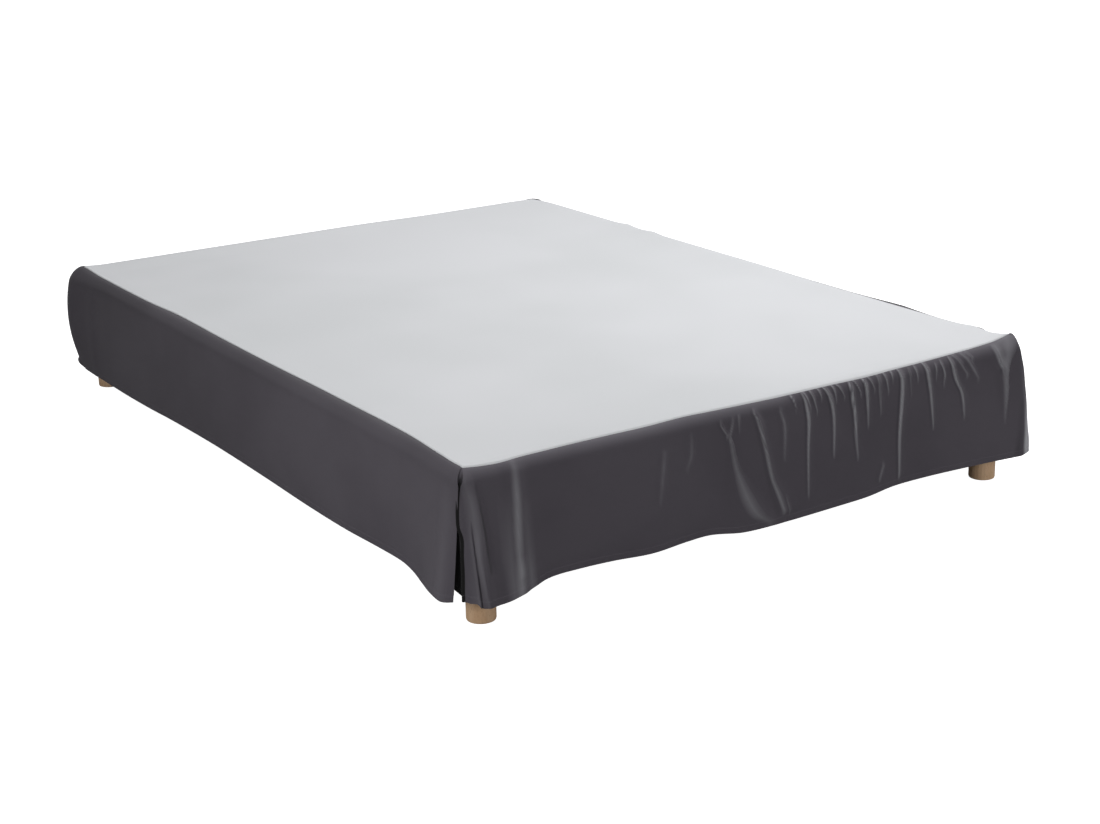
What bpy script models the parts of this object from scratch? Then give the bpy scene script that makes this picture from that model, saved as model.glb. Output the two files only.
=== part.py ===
"""A fitted bed skirt on a divan base with four round wooden feet.

A pale platform panel lies on the base. Four drops of anthracite cloth are sewn to it, roll over the
base's rounded top edge and hang to a few centimetres above the floor. The foot drop is gathered along
its seam, and its ends turn back behind the side drops, which makes the two slits at the foot corners.

Frame: metres, +Z up, +Y from the foot of the bed to its head, origin on the floor under the middle.
"""

import math
from dataclasses import dataclass

import bmesh
import bpy
from mathutils import Vector

# ---------------------------------------------------------------- driving sizes
COVER_WIDTH = 1.401  # between the outer faces of the two side drops
COVER_LENGTH = 1.901  # between the outer faces of the foot and head drops
RIM_HEIGHT = 0.311  # top of the cloth where it starts to roll over the edge
CLOTH = 0.0015  # thickness of the drops and of the platform panel
EDGE_CLEARANCE = 0.002  # between the hung cloth and the base
GAP = 0.0003  # between pieces that touch
SHOULDER = 0.0285  # radius of the cloth where it rolls over the top edge
HEAD_CORNER = 0.030  # radius of the cloth round the two head corners, seen from above
SEAM_GAP = 0.0012  # between the platform panel and each drop, along the seam
CORNER_GAP = 0.0008  # from the end of a drop to the diagonal of a head corner

LEG_LENGTH = 0.150
LEG_RADIUS = 0.0285
LEG_EDGE = 0.003  # rounding of the feet's rims
LEG_IN_FROM_SIDE = 0.058  # centre line of a foot to the outer face of the side drop
LEG_IN_FROM_END = 0.035  # centre line of a foot to the outer face of the foot or head drop

BASE_BOTTOM_EDGE = 0.004  # rounding under the base
TURN_BACK_END = 0.064  # how far the turned-back ends of the foot drop reach behind the side drops
TURN_BACK_BEND = 0.005  # radius of the cloth where those ends turn the corner
TURN_BACK_HEM_RISE = 0.009  # how much higher their hem is at the far end
SLIT_TOP = 0.953  # a side drop's end column, under the rolled edge, from the middle of the bed
SLIT_HEM = 0.943  # and at the hem
FOOT_RIGHT_HEM = 0.717  # the foot drop's last column at the hem, which spreads past the corner
BASE_CORNER = 0.030  # radius of the base's upright edges

# ---------------------------------------------------------------- worked-out sizes
STAND_OFF = EDGE_CLEARANCE + CLOTH  # outer face of the cloth to the base
BASE_TOP = RIM_HEIGHT - STAND_OFF
BASE_SHOULDER = SHOULDER - STAND_OFF
PANEL_TOP = BASE_TOP + GAP + CLOTH
SHOULDER_TURN = SHOULDER * math.pi / 2  # cloth used up by the roll over the edge
FACE_TOP = RIM_HEIGHT - SHOULDER  # height where the cloth leaves the edge and hangs free
HALF_WIDTH = COVER_WIDTH / 2
HALF_LENGTH = COVER_LENGTH / 2
QUARTER_TURN = math.pi / 4
QUARTER_SHORT = HEAD_CORNER * (1 - QUARTER_TURN)  # a drop ends half way round a head corner
SIDE_ROUND_END = HALF_LENGTH - QUARTER_SHORT
HEAD_ROUND_END = HALF_WIDTH - QUARTER_SHORT

# ---------------------------------------------------------------- grid of a drop
SHOULDER_ROWS = 3  # faces from the seam to where the cloth hangs free
HANGING_ROWS = 6  # faces from there to the hem
WIDEST_COLUMN = 0.085
NARROWEST_COLUMN = 0.007
CROWDED = 0.0025  # points of the panel's outline closer than this are dropped
TIP_REACH = 0.050  # a corner draws the seam's end in over this length
ROUND_FACES = 3  # faces of a drop on its half of a rounded head corner
TURN_BACK_BEND_FACES = 3
TURN_BACK_FACES = 2
PANEL_RINGS = (0.010, 0.022, 0.075)  # widths of the panel's rings, from the seam inwards
PANEL_FLAT_FROM = 0.100  # distance from the outer faces where the panel lies flat on the base
LEG_SIDES = 24
SCREEN_GAMMA = 2.2

COLLECTION_NAME = "bed_skirt_on_divan_base"


@dataclass(frozen=True)
class Peak:
    """A corner of the cover that stands up off the base: its place and how high it lifts the seam."""

    x: float
    y: float
    rise: float


PEAK_REACH = 0.065  # distance over which a raised corner dies away
PEAKS = (Peak(0.693, -0.936, 0.007), Peak(-0.684, 0.934, 0.006), Peak(0.684, 0.934, 0.004))


@dataclass(frozen=True)
class Section:
    """The hang of a drop at one place along its side.

    at: place along the side. seam_in: seam to the outer face, measured inwards. top_out, mid_out and
    hem_out: how far the cloth stands off the outer face under the rolled edge, half way down and at
    the hem. hem_height: hem to floor.
    """

    at: float
    seam_in: float
    top_out: float
    mid_out: float
    hem_out: float
    hem_height: float


@dataclass(frozen=True)
class Fold:
    """A soft ridge from the rolled edge towards the hem.

    top_at and hem_at: its place along the side under the rolled edge and at the hem. half_width:
    ridge to foot. top_rise, mid_rise and hem_rise: how far it stands out of the cloth on its way.
    """

    top_at: float
    hem_at: float
    half_width: float
    top_rise: float
    mid_rise: float
    hem_rise: float


FOOT_SECTIONS = (
    Section(TURN_BACK_BEND - HALF_WIDTH, 0.0190, 0.000, 0.006, 0.014, 0.066),
    Section(-0.6900, 0.0185, 0.000, 0.009, 0.021, 0.064),
    Section(-0.6800, 0.0180, 0.001, 0.012, 0.028, 0.062),
    Section(-0.6740, 0.0172, 0.001, 0.014, 0.032, 0.054),
    Section(-0.6500, 0.0150, 0.001, 0.016, 0.035, 0.053),
    Section(-0.6100, 0.0122, 0.001, 0.012, 0.030, 0.053),
    Section(-0.5600, 0.0143, 0.000, 0.005, 0.012, 0.057),
    Section(-0.5100, 0.0149, 0.000, 0.001, 0.002, 0.064),
    Section(-0.4500, 0.0156, 0.000, 0.001, 0.001, 0.0655),
    Section(-0.3700, 0.0155, 0.000, 0.002, 0.002, 0.062),
    Section(-0.2800, 0.0138, 0.000, 0.004, 0.007, 0.058),
    Section(-0.1900, 0.0157, 0.000, 0.002, 0.001, 0.059),
    Section(-0.1350, 0.0140, 0.000, 0.002, 0.002, 0.0585),
    Section(-0.0600, 0.0120, 0.000, 0.005, 0.013, 0.052),
    Section(0.0400, 0.0101, 0.000, 0.005, 0.014, 0.051),
    Section(0.1800, 0.0107, 0.000, 0.004, 0.012, 0.051),
    Section(0.2700, 0.0100, 0.000, 0.003, 0.008, 0.052),
    Section(0.3500, 0.0118, 0.000, 0.002, 0.001, 0.0562),
    Section(0.4500, 0.0135, 0.000, 0.002, 0.001, 0.0555),
    Section(0.5450, 0.0160, 0.000, 0.004, 0.006, 0.0535),
    Section(0.6050, 0.0182, 0.001, 0.006, 0.010, 0.053),
    Section(0.6600, 0.0185, 0.001, 0.007, 0.013, 0.052),
    Section(FOOT_RIGHT_HEM, 0.0145, 0.002, 0.008, 0.018, 0.052),
)

FOOT_FOLDS = (
    Fold(-0.672, -0.646, 0.022, 0.002, 0.006, 0.002),
    Fold(-0.590, -0.578, 0.020, 0.001, 0.007, 0.003),
    Fold(-0.256, -0.258, 0.016, 0.000, 0.004, 0.000),
    Fold(-0.187, -0.198, 0.014, 0.001, 0.003, 0.000),
    Fold(-0.101, -0.030, 0.026, 0.003, 0.010, 0.009),
    Fold(-0.030, 0.053, 0.020, 0.004, 0.009, 0.005),
    Fold(0.091, 0.112, 0.016, 0.004, 0.008, 0.003),
    Fold(0.154, 0.182, 0.014, 0.004, 0.007, 0.001),
    Fold(0.212, 0.246, 0.016, 0.004, 0.008, 0.002),
    Fold(0.259, 0.272, 0.011, 0.003, 0.004, 0.000),
    Fold(0.292, 0.305, 0.012, 0.004, 0.002, 0.000),
    Fold(0.344, 0.354, 0.018, 0.004, 0.009, 0.006),
    Fold(0.421, 0.455, 0.016, 0.004, 0.007, 0.001),
    Fold(0.502, 0.552, 0.018, 0.004, 0.007, 0.001),
    Fold(0.614, 0.668, 0.030, 0.006, 0.008, 0.002),
)

LEFT_SECTIONS = (
    Section(-SLIT_HEM, 0.0190, 0.004, 0.007, 0.012, 0.061),
    Section(-0.9350, 0.0190, 0.004, 0.012, 0.025, 0.060),
    Section(-0.9200, 0.0190, 0.004, 0.014, 0.030, 0.060),
    Section(-0.8950, 0.0185, 0.004, 0.013, 0.027, 0.060),
    Section(-0.8600, 0.0205, 0.004, 0.010, 0.020, 0.057),
    Section(-0.8200, 0.0230, 0.002, 0.006, 0.010, 0.057),
    Section(-0.7750, 0.0265, 0.000, 0.003, 0.003, 0.063),
    Section(-0.7300, 0.0300, 0.000, 0.001, 0.001, 0.068),
    Section(-0.6400, 0.0320, 0.000, 0.001, 0.001, 0.0665),
    Section(-0.5000, 0.0330, 0.000, 0.003, 0.001, 0.0612),
    Section(-0.3400, 0.0340, 0.000, 0.003, 0.001, 0.0608),
    Section(-0.1300, 0.0285, 0.000, 0.004, 0.001, 0.064),
    Section(0.1200, 0.0285, 0.000, 0.005, 0.001, 0.066),
    Section(0.3600, 0.0315, 0.000, 0.005, 0.001, 0.061),
    Section(0.5000, 0.0250, 0.000, 0.005, 0.001, 0.055),
    Section(0.6500, 0.0235, 0.000, 0.006, 0.002, 0.052),
    Section(0.8100, 0.0240, 0.000, 0.009, 0.003, 0.0525),
    Section(0.8750, 0.0250, 0.002, 0.011, 0.003, 0.053),
    Section(0.9020, 0.0230, 0.011, 0.020, 0.007, 0.055),
    Section(0.9260, 0.0205, 0.020, 0.030, 0.014, 0.059),
    Section(SIDE_ROUND_END, 0.0195, 0.022, 0.032, 0.016, 0.060),
)

LEFT_FOLDS = (
    Fold(-0.897, -0.892, 0.026, 0.000, 0.004, 0.003),
    Fold(0.815, 0.830, 0.040, 0.000, 0.003, 0.001),
)

# The right side hangs as the left one does, with its own slow unevenness.
RIGHT_SECTIONS = (
    Section(-SLIT_HEM, 0.0100, 0.004, 0.016, 0.030, 0.060),
    Section(-0.9150, 0.0130, 0.004, 0.015, 0.030, 0.059),
    Section(-0.8800, 0.0160, 0.004, 0.012, 0.024, 0.059),
    Section(-0.8300, 0.0190, 0.003, 0.007, 0.012, 0.061),
    Section(-0.7700, 0.0220, 0.000, 0.003, 0.003, 0.066),
    Section(-0.6800, 0.0250, 0.000, 0.002, 0.001, 0.068),
    Section(-0.4800, 0.0260, 0.000, 0.004, 0.001, 0.065),
    Section(-0.2800, 0.0240, 0.000, 0.003, 0.001, 0.066),
    Section(-0.0400, 0.0150, 0.000, 0.004, 0.002, 0.058),
    Section(0.2200, 0.0140, 0.000, 0.005, 0.003, 0.057),
    Section(0.4800, 0.0160, 0.000, 0.005, 0.001, 0.058),
    Section(0.7400, 0.0170, 0.000, 0.008, 0.002, 0.055),
    Section(0.8750, 0.0190, 0.002, 0.010, 0.003, 0.054),
    Section(0.9020, 0.0190, 0.011, 0.021, 0.008, 0.056),
    Section(0.9260, 0.0190, 0.021, 0.032, 0.015, 0.058),
    Section(SIDE_ROUND_END, 0.0190, 0.023, 0.034, 0.017, 0.059),
)

RIGHT_FOLDS = (
    Fold(-0.890, -0.884, 0.026, 0.000, 0.004, 0.003),
    Fold(0.110, 0.120, 0.030, 0.001, 0.005, 0.001),
)

HEAD_SECTIONS = (
    Section(-HEAD_ROUND_END, 0.0195, 0.022, 0.032, 0.016, 0.060),
    Section(-0.6760, 0.0192, 0.020, 0.030, 0.014, 0.059),
    Section(-0.6520, 0.0186, 0.011, 0.020, 0.007, 0.057),
    Section(-0.6250, 0.0180, 0.002, 0.010, 0.003, 0.056),
    Section(-0.4200, 0.0160, 0.000, 0.004, 0.001, 0.058),
    Section(-0.1500, 0.0150, 0.000, 0.005, 0.002, 0.057),
    Section(0.1500, 0.0160, 0.000, 0.004, 0.001, 0.059),
    Section(0.4200, 0.0150, 0.000, 0.005, 0.001, 0.058),
    Section(0.6250, 0.0180, 0.002, 0.010, 0.003, 0.056),
    Section(0.6520, 0.0184, 0.011, 0.021, 0.008, 0.057),
    Section(0.6760, 0.0188, 0.021, 0.032, 0.015, 0.058),
    Section(HEAD_ROUND_END, 0.0190, 0.023, 0.034, 0.017, 0.059),
)

HEAD_FOLDS = (
    Fold(-0.330, -0.345, 0.022, 0.001, 0.005, 0.002),
    Fold(0.060, 0.070, 0.024, 0.001, 0.006, 0.001),
    Fold(0.380, 0.360, 0.020, 0.001, 0.005, 0.002),
)


@dataclass(frozen=True)
class Side:
    """One edge of the bed, seen from above: its middle, its two directions and how its ends finish."""

    middle: Vector
    along: Vector
    outward: Vector
    half: float
    start_rounds: bool = False  # the cloth follows a rounded corner at its low end
    finish_rounds: bool = False  # and at its high end

    def plan(self, at, out):
        """The place seen from above of a point `at` along the side and `out` off its outer face."""
        straight = self.half - HEAD_CORNER
        rounds = self.finish_rounds if at > 0 else self.start_rounds
        past = abs(at) - straight
        if rounds and past > 0:
            turn = past / HEAD_CORNER
            reach = HEAD_CORNER + out
            short = CORNER_GAP * turn / QUARTER_TURN
            at = math.copysign(straight + reach * math.sin(turn) - short * math.cos(turn), at)
            out = reach * math.cos(turn) + short * math.sin(turn) - HEAD_CORNER
        return self.middle + self.along * at + self.outward * out


FOOT = Side(Vector((0, -HALF_LENGTH, 0)), Vector((1, 0, 0)), Vector((0, -1, 0)), HALF_WIDTH)
HEAD = Side(Vector((0, HALF_LENGTH, 0)), Vector((1, 0, 0)), Vector((0, 1, 0)), HALF_WIDTH, True, True)
LEFT = Side(Vector((-HALF_WIDTH, 0, 0)), Vector((0, 1, 0)), Vector((-1, 0, 0)), HALF_LENGTH, False, True)
RIGHT = Side(Vector((HALF_WIDTH, 0, 0)), Vector((0, 1, 0)), Vector((1, 0, 0)), HALF_LENGTH, False, True)


# ---------------------------------------------------------------- the cloth over the edge
def peak_height(x, y):
    """How far the raised corners lift the seam at a place seen from above."""
    total = 0.0
    for peak in PEAKS:
        away = math.hypot(x - peak.x, y - peak.y) / PEAK_REACH
        total += peak.rise * max(0.0, 1 - away) ** 2
    return total


def over_edge(reach):
    """Inset and drop of cloth that has run `reach` past the line where the flat top starts to roll."""
    if reach <= 0:
        return SHOULDER - reach, 0.0
    turn = min(reach, SHOULDER_TURN) / SHOULDER
    hanging = max(0.0, reach - SHOULDER_TURN)
    return SHOULDER * (1 - math.sin(turn)), SHOULDER * (1 - math.cos(turn)) + hanging


def reach_of(inset):
    """The reverse of over_edge, from the inset."""
    if inset >= SHOULDER:
        return SHOULDER - inset
    return SHOULDER * math.asin(1 - inset / SHOULDER)


def through(values, share):
    """A smooth curve through values at 0, a half and 1."""
    first, middle, last = values
    return (
        first * (1 - share) * (1 - 2 * share)
        + middle * 4 * share * (1 - share)
        + last * share * (2 * share - 1)
    )


def between(pairs, at):
    """The value at a place, on straight lines between pairs of place and value."""
    for low, high in zip(pairs, pairs[1:]):
        if at <= high[0]:
            break
    share = (at - low[0]) / (high[0] - low[0])
    return low[1] + (high[1] - low[1]) * min(1.0, max(0.0, share))


def smooth_between(sections, name, at):
    """A section's value at any place along the side, on a curve through the sections."""
    at = min(max(at, sections[0].at), sections[-1].at)
    index = next(i for i, row in enumerate(sections[1:]) if at <= row.at)
    low, high = sections[index], sections[index + 1]
    before = sections[max(index - 1, 0)]
    after = sections[min(index + 2, len(sections) - 1)]
    span = high.at - low.at
    share = (at - low.at) / span
    start, end = getattr(low, name), getattr(high, name)
    start_slope = (end - getattr(before, name)) / (high.at - before.at) * span
    end_slope = (getattr(after, name) - start) / (after.at - low.at) * span
    square, cube = share**2, share**3
    return (
        start * (2 * cube - 3 * square + 1)
        + start_slope * (cube - 2 * square + share)
        + end * (3 * square - 2 * cube)
        + end_slope * (cube - square)
    )


@dataclass
class Drop:
    """One drop of the skirt: its side, its sections, its folds and how it ends.

    first_top and last_top: its end columns under the rolled edge. first_tip and last_tip: the same
    at the seam, where a corner draws them in.
    """

    name: str
    side: Side
    sections: tuple
    folds: tuple
    first_top: float
    first_tip: float
    last_top: float
    last_tip: float
    turned_back: bool = False

    def __post_init__(self):
        first, last = self.sections[0].at, self.sections[-1].at
        folds = [(fold.hem_at, fold.top_at) for fold in self.folds]
        self.leans = sorted([(first, self.first_top), (last, self.last_top), *folds])
        drawn = [(first, self.first_tip), (last, self.last_tip)]
        inside = [(at, between(self.leans, at)) for at in (first + TIP_REACH, last - TIP_REACH)]
        kept = [pair for pair in self.leans if first + TIP_REACH < pair[0] < last - TIP_REACH]
        self.seams = sorted([*drawn, *inside, *kept])

    def seam_in(self, seam_at):
        """The seam's inset at a place along the seam."""
        return between([(row.at, row.seam_in) for row in self.sections], seam_at)

    def seam_at(self, at):
        """Where the column that hangs at `at` leaves the seam."""
        return between(self.seams, at)

    def hangs_at(self, seam_at):
        """The reverse: where the column that leaves the seam at `seam_at` hangs."""
        return between([(seam, at) for at, seam in self.seams], seam_at)

    def way_down(self, at, rolled, hang):
        """Place along the side of a column, `rolled` over the edge and `hang` of the way down."""
        seam, top = self.seam_at(at), between(self.leans, at)
        return seam + (top - seam) * rolled + (at - top) * hang

    def rise(self, at, share):
        """How far the folds lift the cloth, `share` of the way from the seam to the hem."""
        total = 0.0
        for fold in self.folds:
            off = abs(at - fold.hem_at) / fold.half_width
            if off < 1:
                height = through((fold.top_rise, fold.mid_rise, fold.hem_rise), share)
                total += max(0.0, height) * (1 + math.cos(math.pi * off)) / 2
        return total

    def stand_off(self, at, share):
        """How far the hanging cloth is off the outer face, without its folds."""
        values = [smooth_between(self.sections, name, at) for name in ("top_out", "mid_out", "hem_out")]
        return max(0.0, through(values, share))

    def point(self, at, row):
        """A point of the outer face, `row` faces below the seam."""
        start = reach_of(self.seam_in(self.seam_at(at)))
        hem = smooth_between(self.sections, "hem_height", at)
        length = SHOULDER_TURN - start + FACE_TOP - hem
        if row <= SHOULDER_ROWS:
            rolled = row / SHOULDER_ROWS
            reach = start + (SHOULDER_TURN - start) * rolled
            hang = 0.0
        else:
            rolled = 1.0
            hang = (row - SHOULDER_ROWS) / HANGING_ROWS
            reach = SHOULDER_TURN + (FACE_TOP - hem) * hang
        share = (reach - start) / length
        inset, drop = over_edge(reach)
        turn = min(max(reach, 0.0), SHOULDER_TURN) / SHOULDER
        lift = self.rise(at, share) * min(1.0, row)
        out = lift * math.sin(turn) + self.stand_off(at, hang) * rolled - inset
        place = self.side.plan(self.way_down(at, rolled, hang), out)
        peak = peak_height(place.x, place.y) * (1 - rolled)
        place.z = RIM_HEIGHT - drop + lift * math.cos(turn) + peak
        return place

    def seam_places(self):
        """Places along the side where the seam bends: each section, and steps round a head corner."""
        wanted = [self.sections[0].at, self.sections[-1].at]
        wanted += [self.hangs_at(row.at) for row in self.sections[1:-1]]
        for step in range(ROUND_FACES):
            place = self.side.half - HEAD_CORNER * (1 - QUARTER_TURN * step / ROUND_FACES)
            if self.side.start_rounds:
                wanted.append(-place)
            if self.side.finish_rounds:
                wanted.append(place)
        return sorted(wanted)

    def columns(self):
        """Places along the side for the mesh's columns: the seam's, and each fold's ridge and feet."""
        first, last = self.sections[0].at, self.sections[-1].at
        wanted = self.seam_places()
        for fold in self.folds:
            for part in (0.0, -1.0, 1.0, -0.5, 0.5):
                place = fold.hem_at + part * fold.half_width
                clear = all(abs(place - other) >= NARROWEST_COLUMN for other in wanted)
                if first < place < last and clear:
                    wanted.append(place)
        wanted.sort()
        filled = [wanted[0]]
        for place in wanted[1:]:
            parts = math.ceil((place - filled[-1]) / WIDEST_COLUMN)
            low = filled[-1]
            filled += [low + (place - low) * part / parts for part in range(1, parts + 1)]
        return filled

    def turn_back_points(self, end, row):
        """A row of the cloth that turns the corner at one end and runs back behind the side drop."""
        edge = self.point(end, row)
        way = math.copysign(1.0, end)
        front = (edge - self.side.middle).dot(self.side.outward)
        start = (edge - self.side.middle).dot(self.side.along)
        hang = max(0.0, row - SHOULDER_ROWS) / HANGING_ROWS
        points = []
        for step in range(1, TURN_BACK_BEND_FACES + 1):
            turn = math.pi / 2 * step / TURN_BACK_BEND_FACES
            at = start + way * TURN_BACK_BEND * math.sin(turn)
            out = front - TURN_BACK_BEND * (1 - math.cos(turn))
            points.append((at, out, edge.z))
        bent_at, bent_out, bent_z = points[-1]
        for step in range(1, TURN_BACK_FACES + 1):
            share = step / TURN_BACK_FACES
            at = bent_at + (way * HALF_WIDTH - bent_at) * share
            out = bent_out + (-TURN_BACK_END - bent_out) * share
            points.append((at, out, bent_z + TURN_BACK_HEM_RISE * share * hang))
        places = []
        for at, out, height in points:
            place = self.side.middle + self.side.along * at + self.side.outward * out
            place.z = height
            places.append(place)
        return places


def drop_mesh(drop):
    """The outer face of a drop as one sheet, from a grid whose columns run from seam to hem."""
    columns = drop.columns()
    rows = SHOULDER_ROWS + HANGING_ROWS
    extra = TURN_BACK_BEND_FACES + TURN_BACK_FACES if drop.turned_back else 0
    across = len(columns) + 2 * extra
    mesh = bmesh.new()
    bmesh.ops.create_grid(mesh, x_segments=across - 1, y_segments=rows, size=1.0)
    mesh.verts.ensure_lookup_table()
    spare = []
    for row in range(rows + 1):
        places = [drop.point(at, row) for at in columns]
        if extra:
            before = drop.turn_back_points(columns[0], row)
            places = before[::-1] + places + drop.turn_back_points(columns[-1], row)
        for column, place in enumerate(places):
            vertex = mesh.verts[row * across + column]
            vertex.co = place
            if row < SHOULDER_ROWS and not extra <= column < across - extra:
                spare.append(vertex)
    bmesh.ops.delete(mesh, geom=spare, context="VERTS")
    middle = min(mesh.faces, key=lambda face: abs(face.calc_center_median().dot(drop.side.along)))
    if middle.normal.dot(drop.side.outward) < 0:
        bmesh.ops.reverse_faces(mesh, faces=mesh.faces)
    return mesh


# ---------------------------------------------------------------- the platform panel
def panel_height(x, y):
    """Height of the panel's upper face: it rolls over the edges and settles flat inside them."""
    insets = (HALF_WIDTH - abs(x), HALF_LENGTH - abs(y))
    drops = [over_edge(reach_of(inset))[1] if inset < SHOULDER else 0.0 for inset in insets]
    share = min(1.0, max(0.0, (min(insets) - SHOULDER) / (PANEL_FLAT_FROM - SHOULDER)))
    settle = (RIM_HEIGHT - PANEL_TOP) * share * share * (3 - 2 * share)
    return RIM_HEIGHT - math.hypot(*drops) - settle + peak_height(x, y)


def seam_line(drop):
    """The panel's edge along one drop: points of the seam, SEAM_GAP inside the drop's own edge."""
    places = [drop.seam_at(at) for at in drop.seam_places()]
    return [drop.side.plan(at, -drop.seam_in(at) - SEAM_GAP) for at in places]


def panel_outline(foot, right, head, left):
    """The panel's outline, anticlockwise from the left foot corner, without crowded points."""
    foot_line, right_line = seam_line(foot), seam_line(right)
    head_line, left_line = seam_line(head)[::-1], seam_line(left)[::-1]
    corner_right = Vector((right_line[0].x, foot_line[-1].y, 0))
    corner_left = Vector((left_line[-1].x, foot_line[0].y, 0))
    outline = [corner_left, *foot_line[1:-1], corner_right, *right_line[1:-1]]
    outline += [(right_line[-1] + head_line[0]) / 2, *head_line[1:-1]]
    outline += [(head_line[-1] + left_line[0]) / 2, *left_line[1:-1]]
    corners = (corner_left, corner_right)
    spaced = [corner_left]
    for place in outline[1:]:
        crowded = min((place - other).length for other in (*corners, spaced[-1])) < CROWDED
        if place in corners or not crowded:
            spaced.append(place)
    return spaced


def panel_mesh(outline):
    """The platform panel's upper face: a disc pulled to its outline, with rings inside it."""
    mesh = bmesh.new()
    bmesh.ops.create_circle(mesh, cap_ends=True, segments=len(outline), radius=1.0)
    for vertex, place in zip(mesh.verts, outline):
        vertex.co = place
    mesh.normal_update()
    mesh.faces.ensure_lookup_table()
    face = mesh.faces[0]
    if face.normal.z < 0:
        bmesh.ops.reverse_faces(mesh, faces=[face])
    for width in PANEL_RINGS:
        bmesh.ops.inset_region(mesh, faces=[face], thickness=0.0, use_boundary=True)
        narrower = Vector((1 - width / HALF_WIDTH, 1 - width / HALF_LENGTH, 1))
        bmesh.ops.scale(mesh, vec=narrower, verts=face.verts)
    for vertex in mesh.verts:
        vertex.co.z = panel_height(vertex.co.x, vertex.co.y)
    return mesh


# ---------------------------------------------------------------- base and feet
def base_mesh():
    """The divan base: a box with rounded corners, a rolled top edge and a small edge below."""
    size = Vector((2 * (HALF_WIDTH - STAND_OFF), 2 * (HALF_LENGTH - STAND_OFF), BASE_TOP - LEG_LENGTH))
    mesh = bmesh.new()
    bmesh.ops.create_cube(mesh, size=1.0)
    bmesh.ops.scale(mesh, vec=size, verts=mesh.verts)
    bmesh.ops.translate(mesh, vec=(0, 0, (BASE_TOP + LEG_LENGTH) / 2), verts=mesh.verts)
    upright = [edge for edge in mesh.edges if abs(edge.verts[0].co.z - edge.verts[1].co.z) > CLOTH]
    round_edges(mesh, upright, BASE_CORNER, 5)
    for height, width, steps in ((BASE_TOP, BASE_SHOULDER, 4), (LEG_LENGTH, BASE_BOTTOM_EDGE, 2)):
        rim = [edge for edge in mesh.edges if all(abs(v.co.z - height) < GAP for v in edge.verts)]
        round_edges(mesh, rim, width, steps)
    return mesh


def leg_mesh(middle_x, middle_y):
    """A turned foot with softened rims."""
    height = LEG_LENGTH - GAP
    mesh = bmesh.new()
    bmesh.ops.create_cone(
        mesh, cap_ends=True, segments=LEG_SIDES, radius1=LEG_RADIUS, radius2=LEG_RADIUS, depth=height
    )
    bmesh.ops.translate(mesh, vec=(middle_x, middle_y, height / 2), verts=mesh.verts)
    rims = [edge for edge in mesh.edges if abs(edge.verts[0].co.z - edge.verts[1].co.z) < GAP]
    round_edges(mesh, rims, LEG_EDGE, 2)
    return mesh


def round_edges(mesh, edges, width, steps):
    bmesh.ops.bevel(
        mesh, geom=edges, offset=width, segments=steps, profile=0.5, affect="EDGES", material=-1
    )


# ---------------------------------------------------------------- objects
def finish(name, red, green, blue, roughness):
    """A plain Principled material from a colour as seen on a screen, 0 to 255."""
    material = bpy.data.materials.new(name)
    material.use_nodes = True
    shader = material.node_tree.nodes["Principled BSDF"]
    linear = [(value / 255) ** SCREEN_GAMMA for value in (red, green, blue)]
    shader.inputs["Base Color"].default_value = (*linear, 1.0)
    shader.inputs["Roughness"].default_value = roughness
    shader.inputs["Metallic"].default_value = 0.0
    return material


def place_object(name, mesh, material, collection):
    """Turns a bmesh into a named object with smooth shading on its soft bends."""
    data = bpy.data.meshes.new(name)
    mesh.to_mesh(data)
    mesh.free()
    data.materials.append(material)
    data.shade_smooth()
    data.set_sharp_from_angle(angle=math.radians(40))
    made = bpy.data.objects.new(name, data)
    collection.objects.link(made)
    return made


def thicken(made):
    """Gives a sheet its thickness, inwards from its outer face."""
    solid = made.modifiers.new("cloth_thickness", "SOLIDIFY")
    solid.thickness = CLOTH
    solid.offset = -1.0
    solid.use_even_offset = True


def clear_scene():
    for item in list(bpy.data.objects):
        bpy.data.objects.remove(item, do_unlink=True)


def main():
    clear_scene()
    collection = bpy.data.collections.new(COLLECTION_NAME)
    bpy.context.scene.collection.children.link(collection)

    skirt = finish("anthracite_cloth", 70, 68, 73, 0.85)
    platform = finish("pale_platform_cloth", 210, 211, 214, 0.9)
    ticking = finish("plain_ticking", 188, 186, 180, 0.9)
    wood = finish("turned_beech", 170, 138, 106, 0.55)

    corner_left = LEFT_SECTIONS[0].seam_in - HALF_WIDTH
    corner_right = HALF_WIDTH - RIGHT_SECTIONS[0].seam_in
    tip_left = CLOTH + FOOT_SECTIONS[0].seam_in - HALF_LENGTH
    tip_right = CLOTH + FOOT_SECTIONS[-1].seam_in - HALF_LENGTH
    bend = HALF_WIDTH - TURN_BACK_BEND
    foot = Drop(
        "drop_foot", FOOT, FOOT_SECTIONS, FOOT_FOLDS, -bend, corner_left, bend, corner_right, True
    )
    side_end, head_end = SIDE_ROUND_END, HEAD_ROUND_END
    left = Drop("drop_left", LEFT, LEFT_SECTIONS, LEFT_FOLDS, -SLIT_TOP, tip_left, side_end, side_end)
    right = Drop(
        "drop_right", RIGHT, RIGHT_SECTIONS, RIGHT_FOLDS, -SLIT_TOP, tip_right, side_end, side_end
    )
    head = Drop("drop_head", HEAD, HEAD_SECTIONS, HEAD_FOLDS, -head_end, -head_end, head_end, head_end)

    for drop in (foot, left, right, head):
        thicken(place_object(drop.name, drop_mesh(drop), skirt, collection))
    outline = panel_outline(foot, right, head, left)
    thicken(place_object("deck_panel", panel_mesh(outline), platform, collection))
    place_object("base_box", base_mesh(), ticking, collection)

    leg_x, leg_y = HALF_WIDTH - LEG_IN_FROM_SIDE, HALF_LENGTH - LEG_IN_FROM_END
    for end, middle_y in (("foot", -leg_y), ("head", leg_y)):
        for hand, middle_x in (("left", -leg_x), ("right", leg_x)):
            place_object(f"leg_{end}_{hand}", leg_mesh(middle_x, middle_y), wood, collection)


main()
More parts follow.
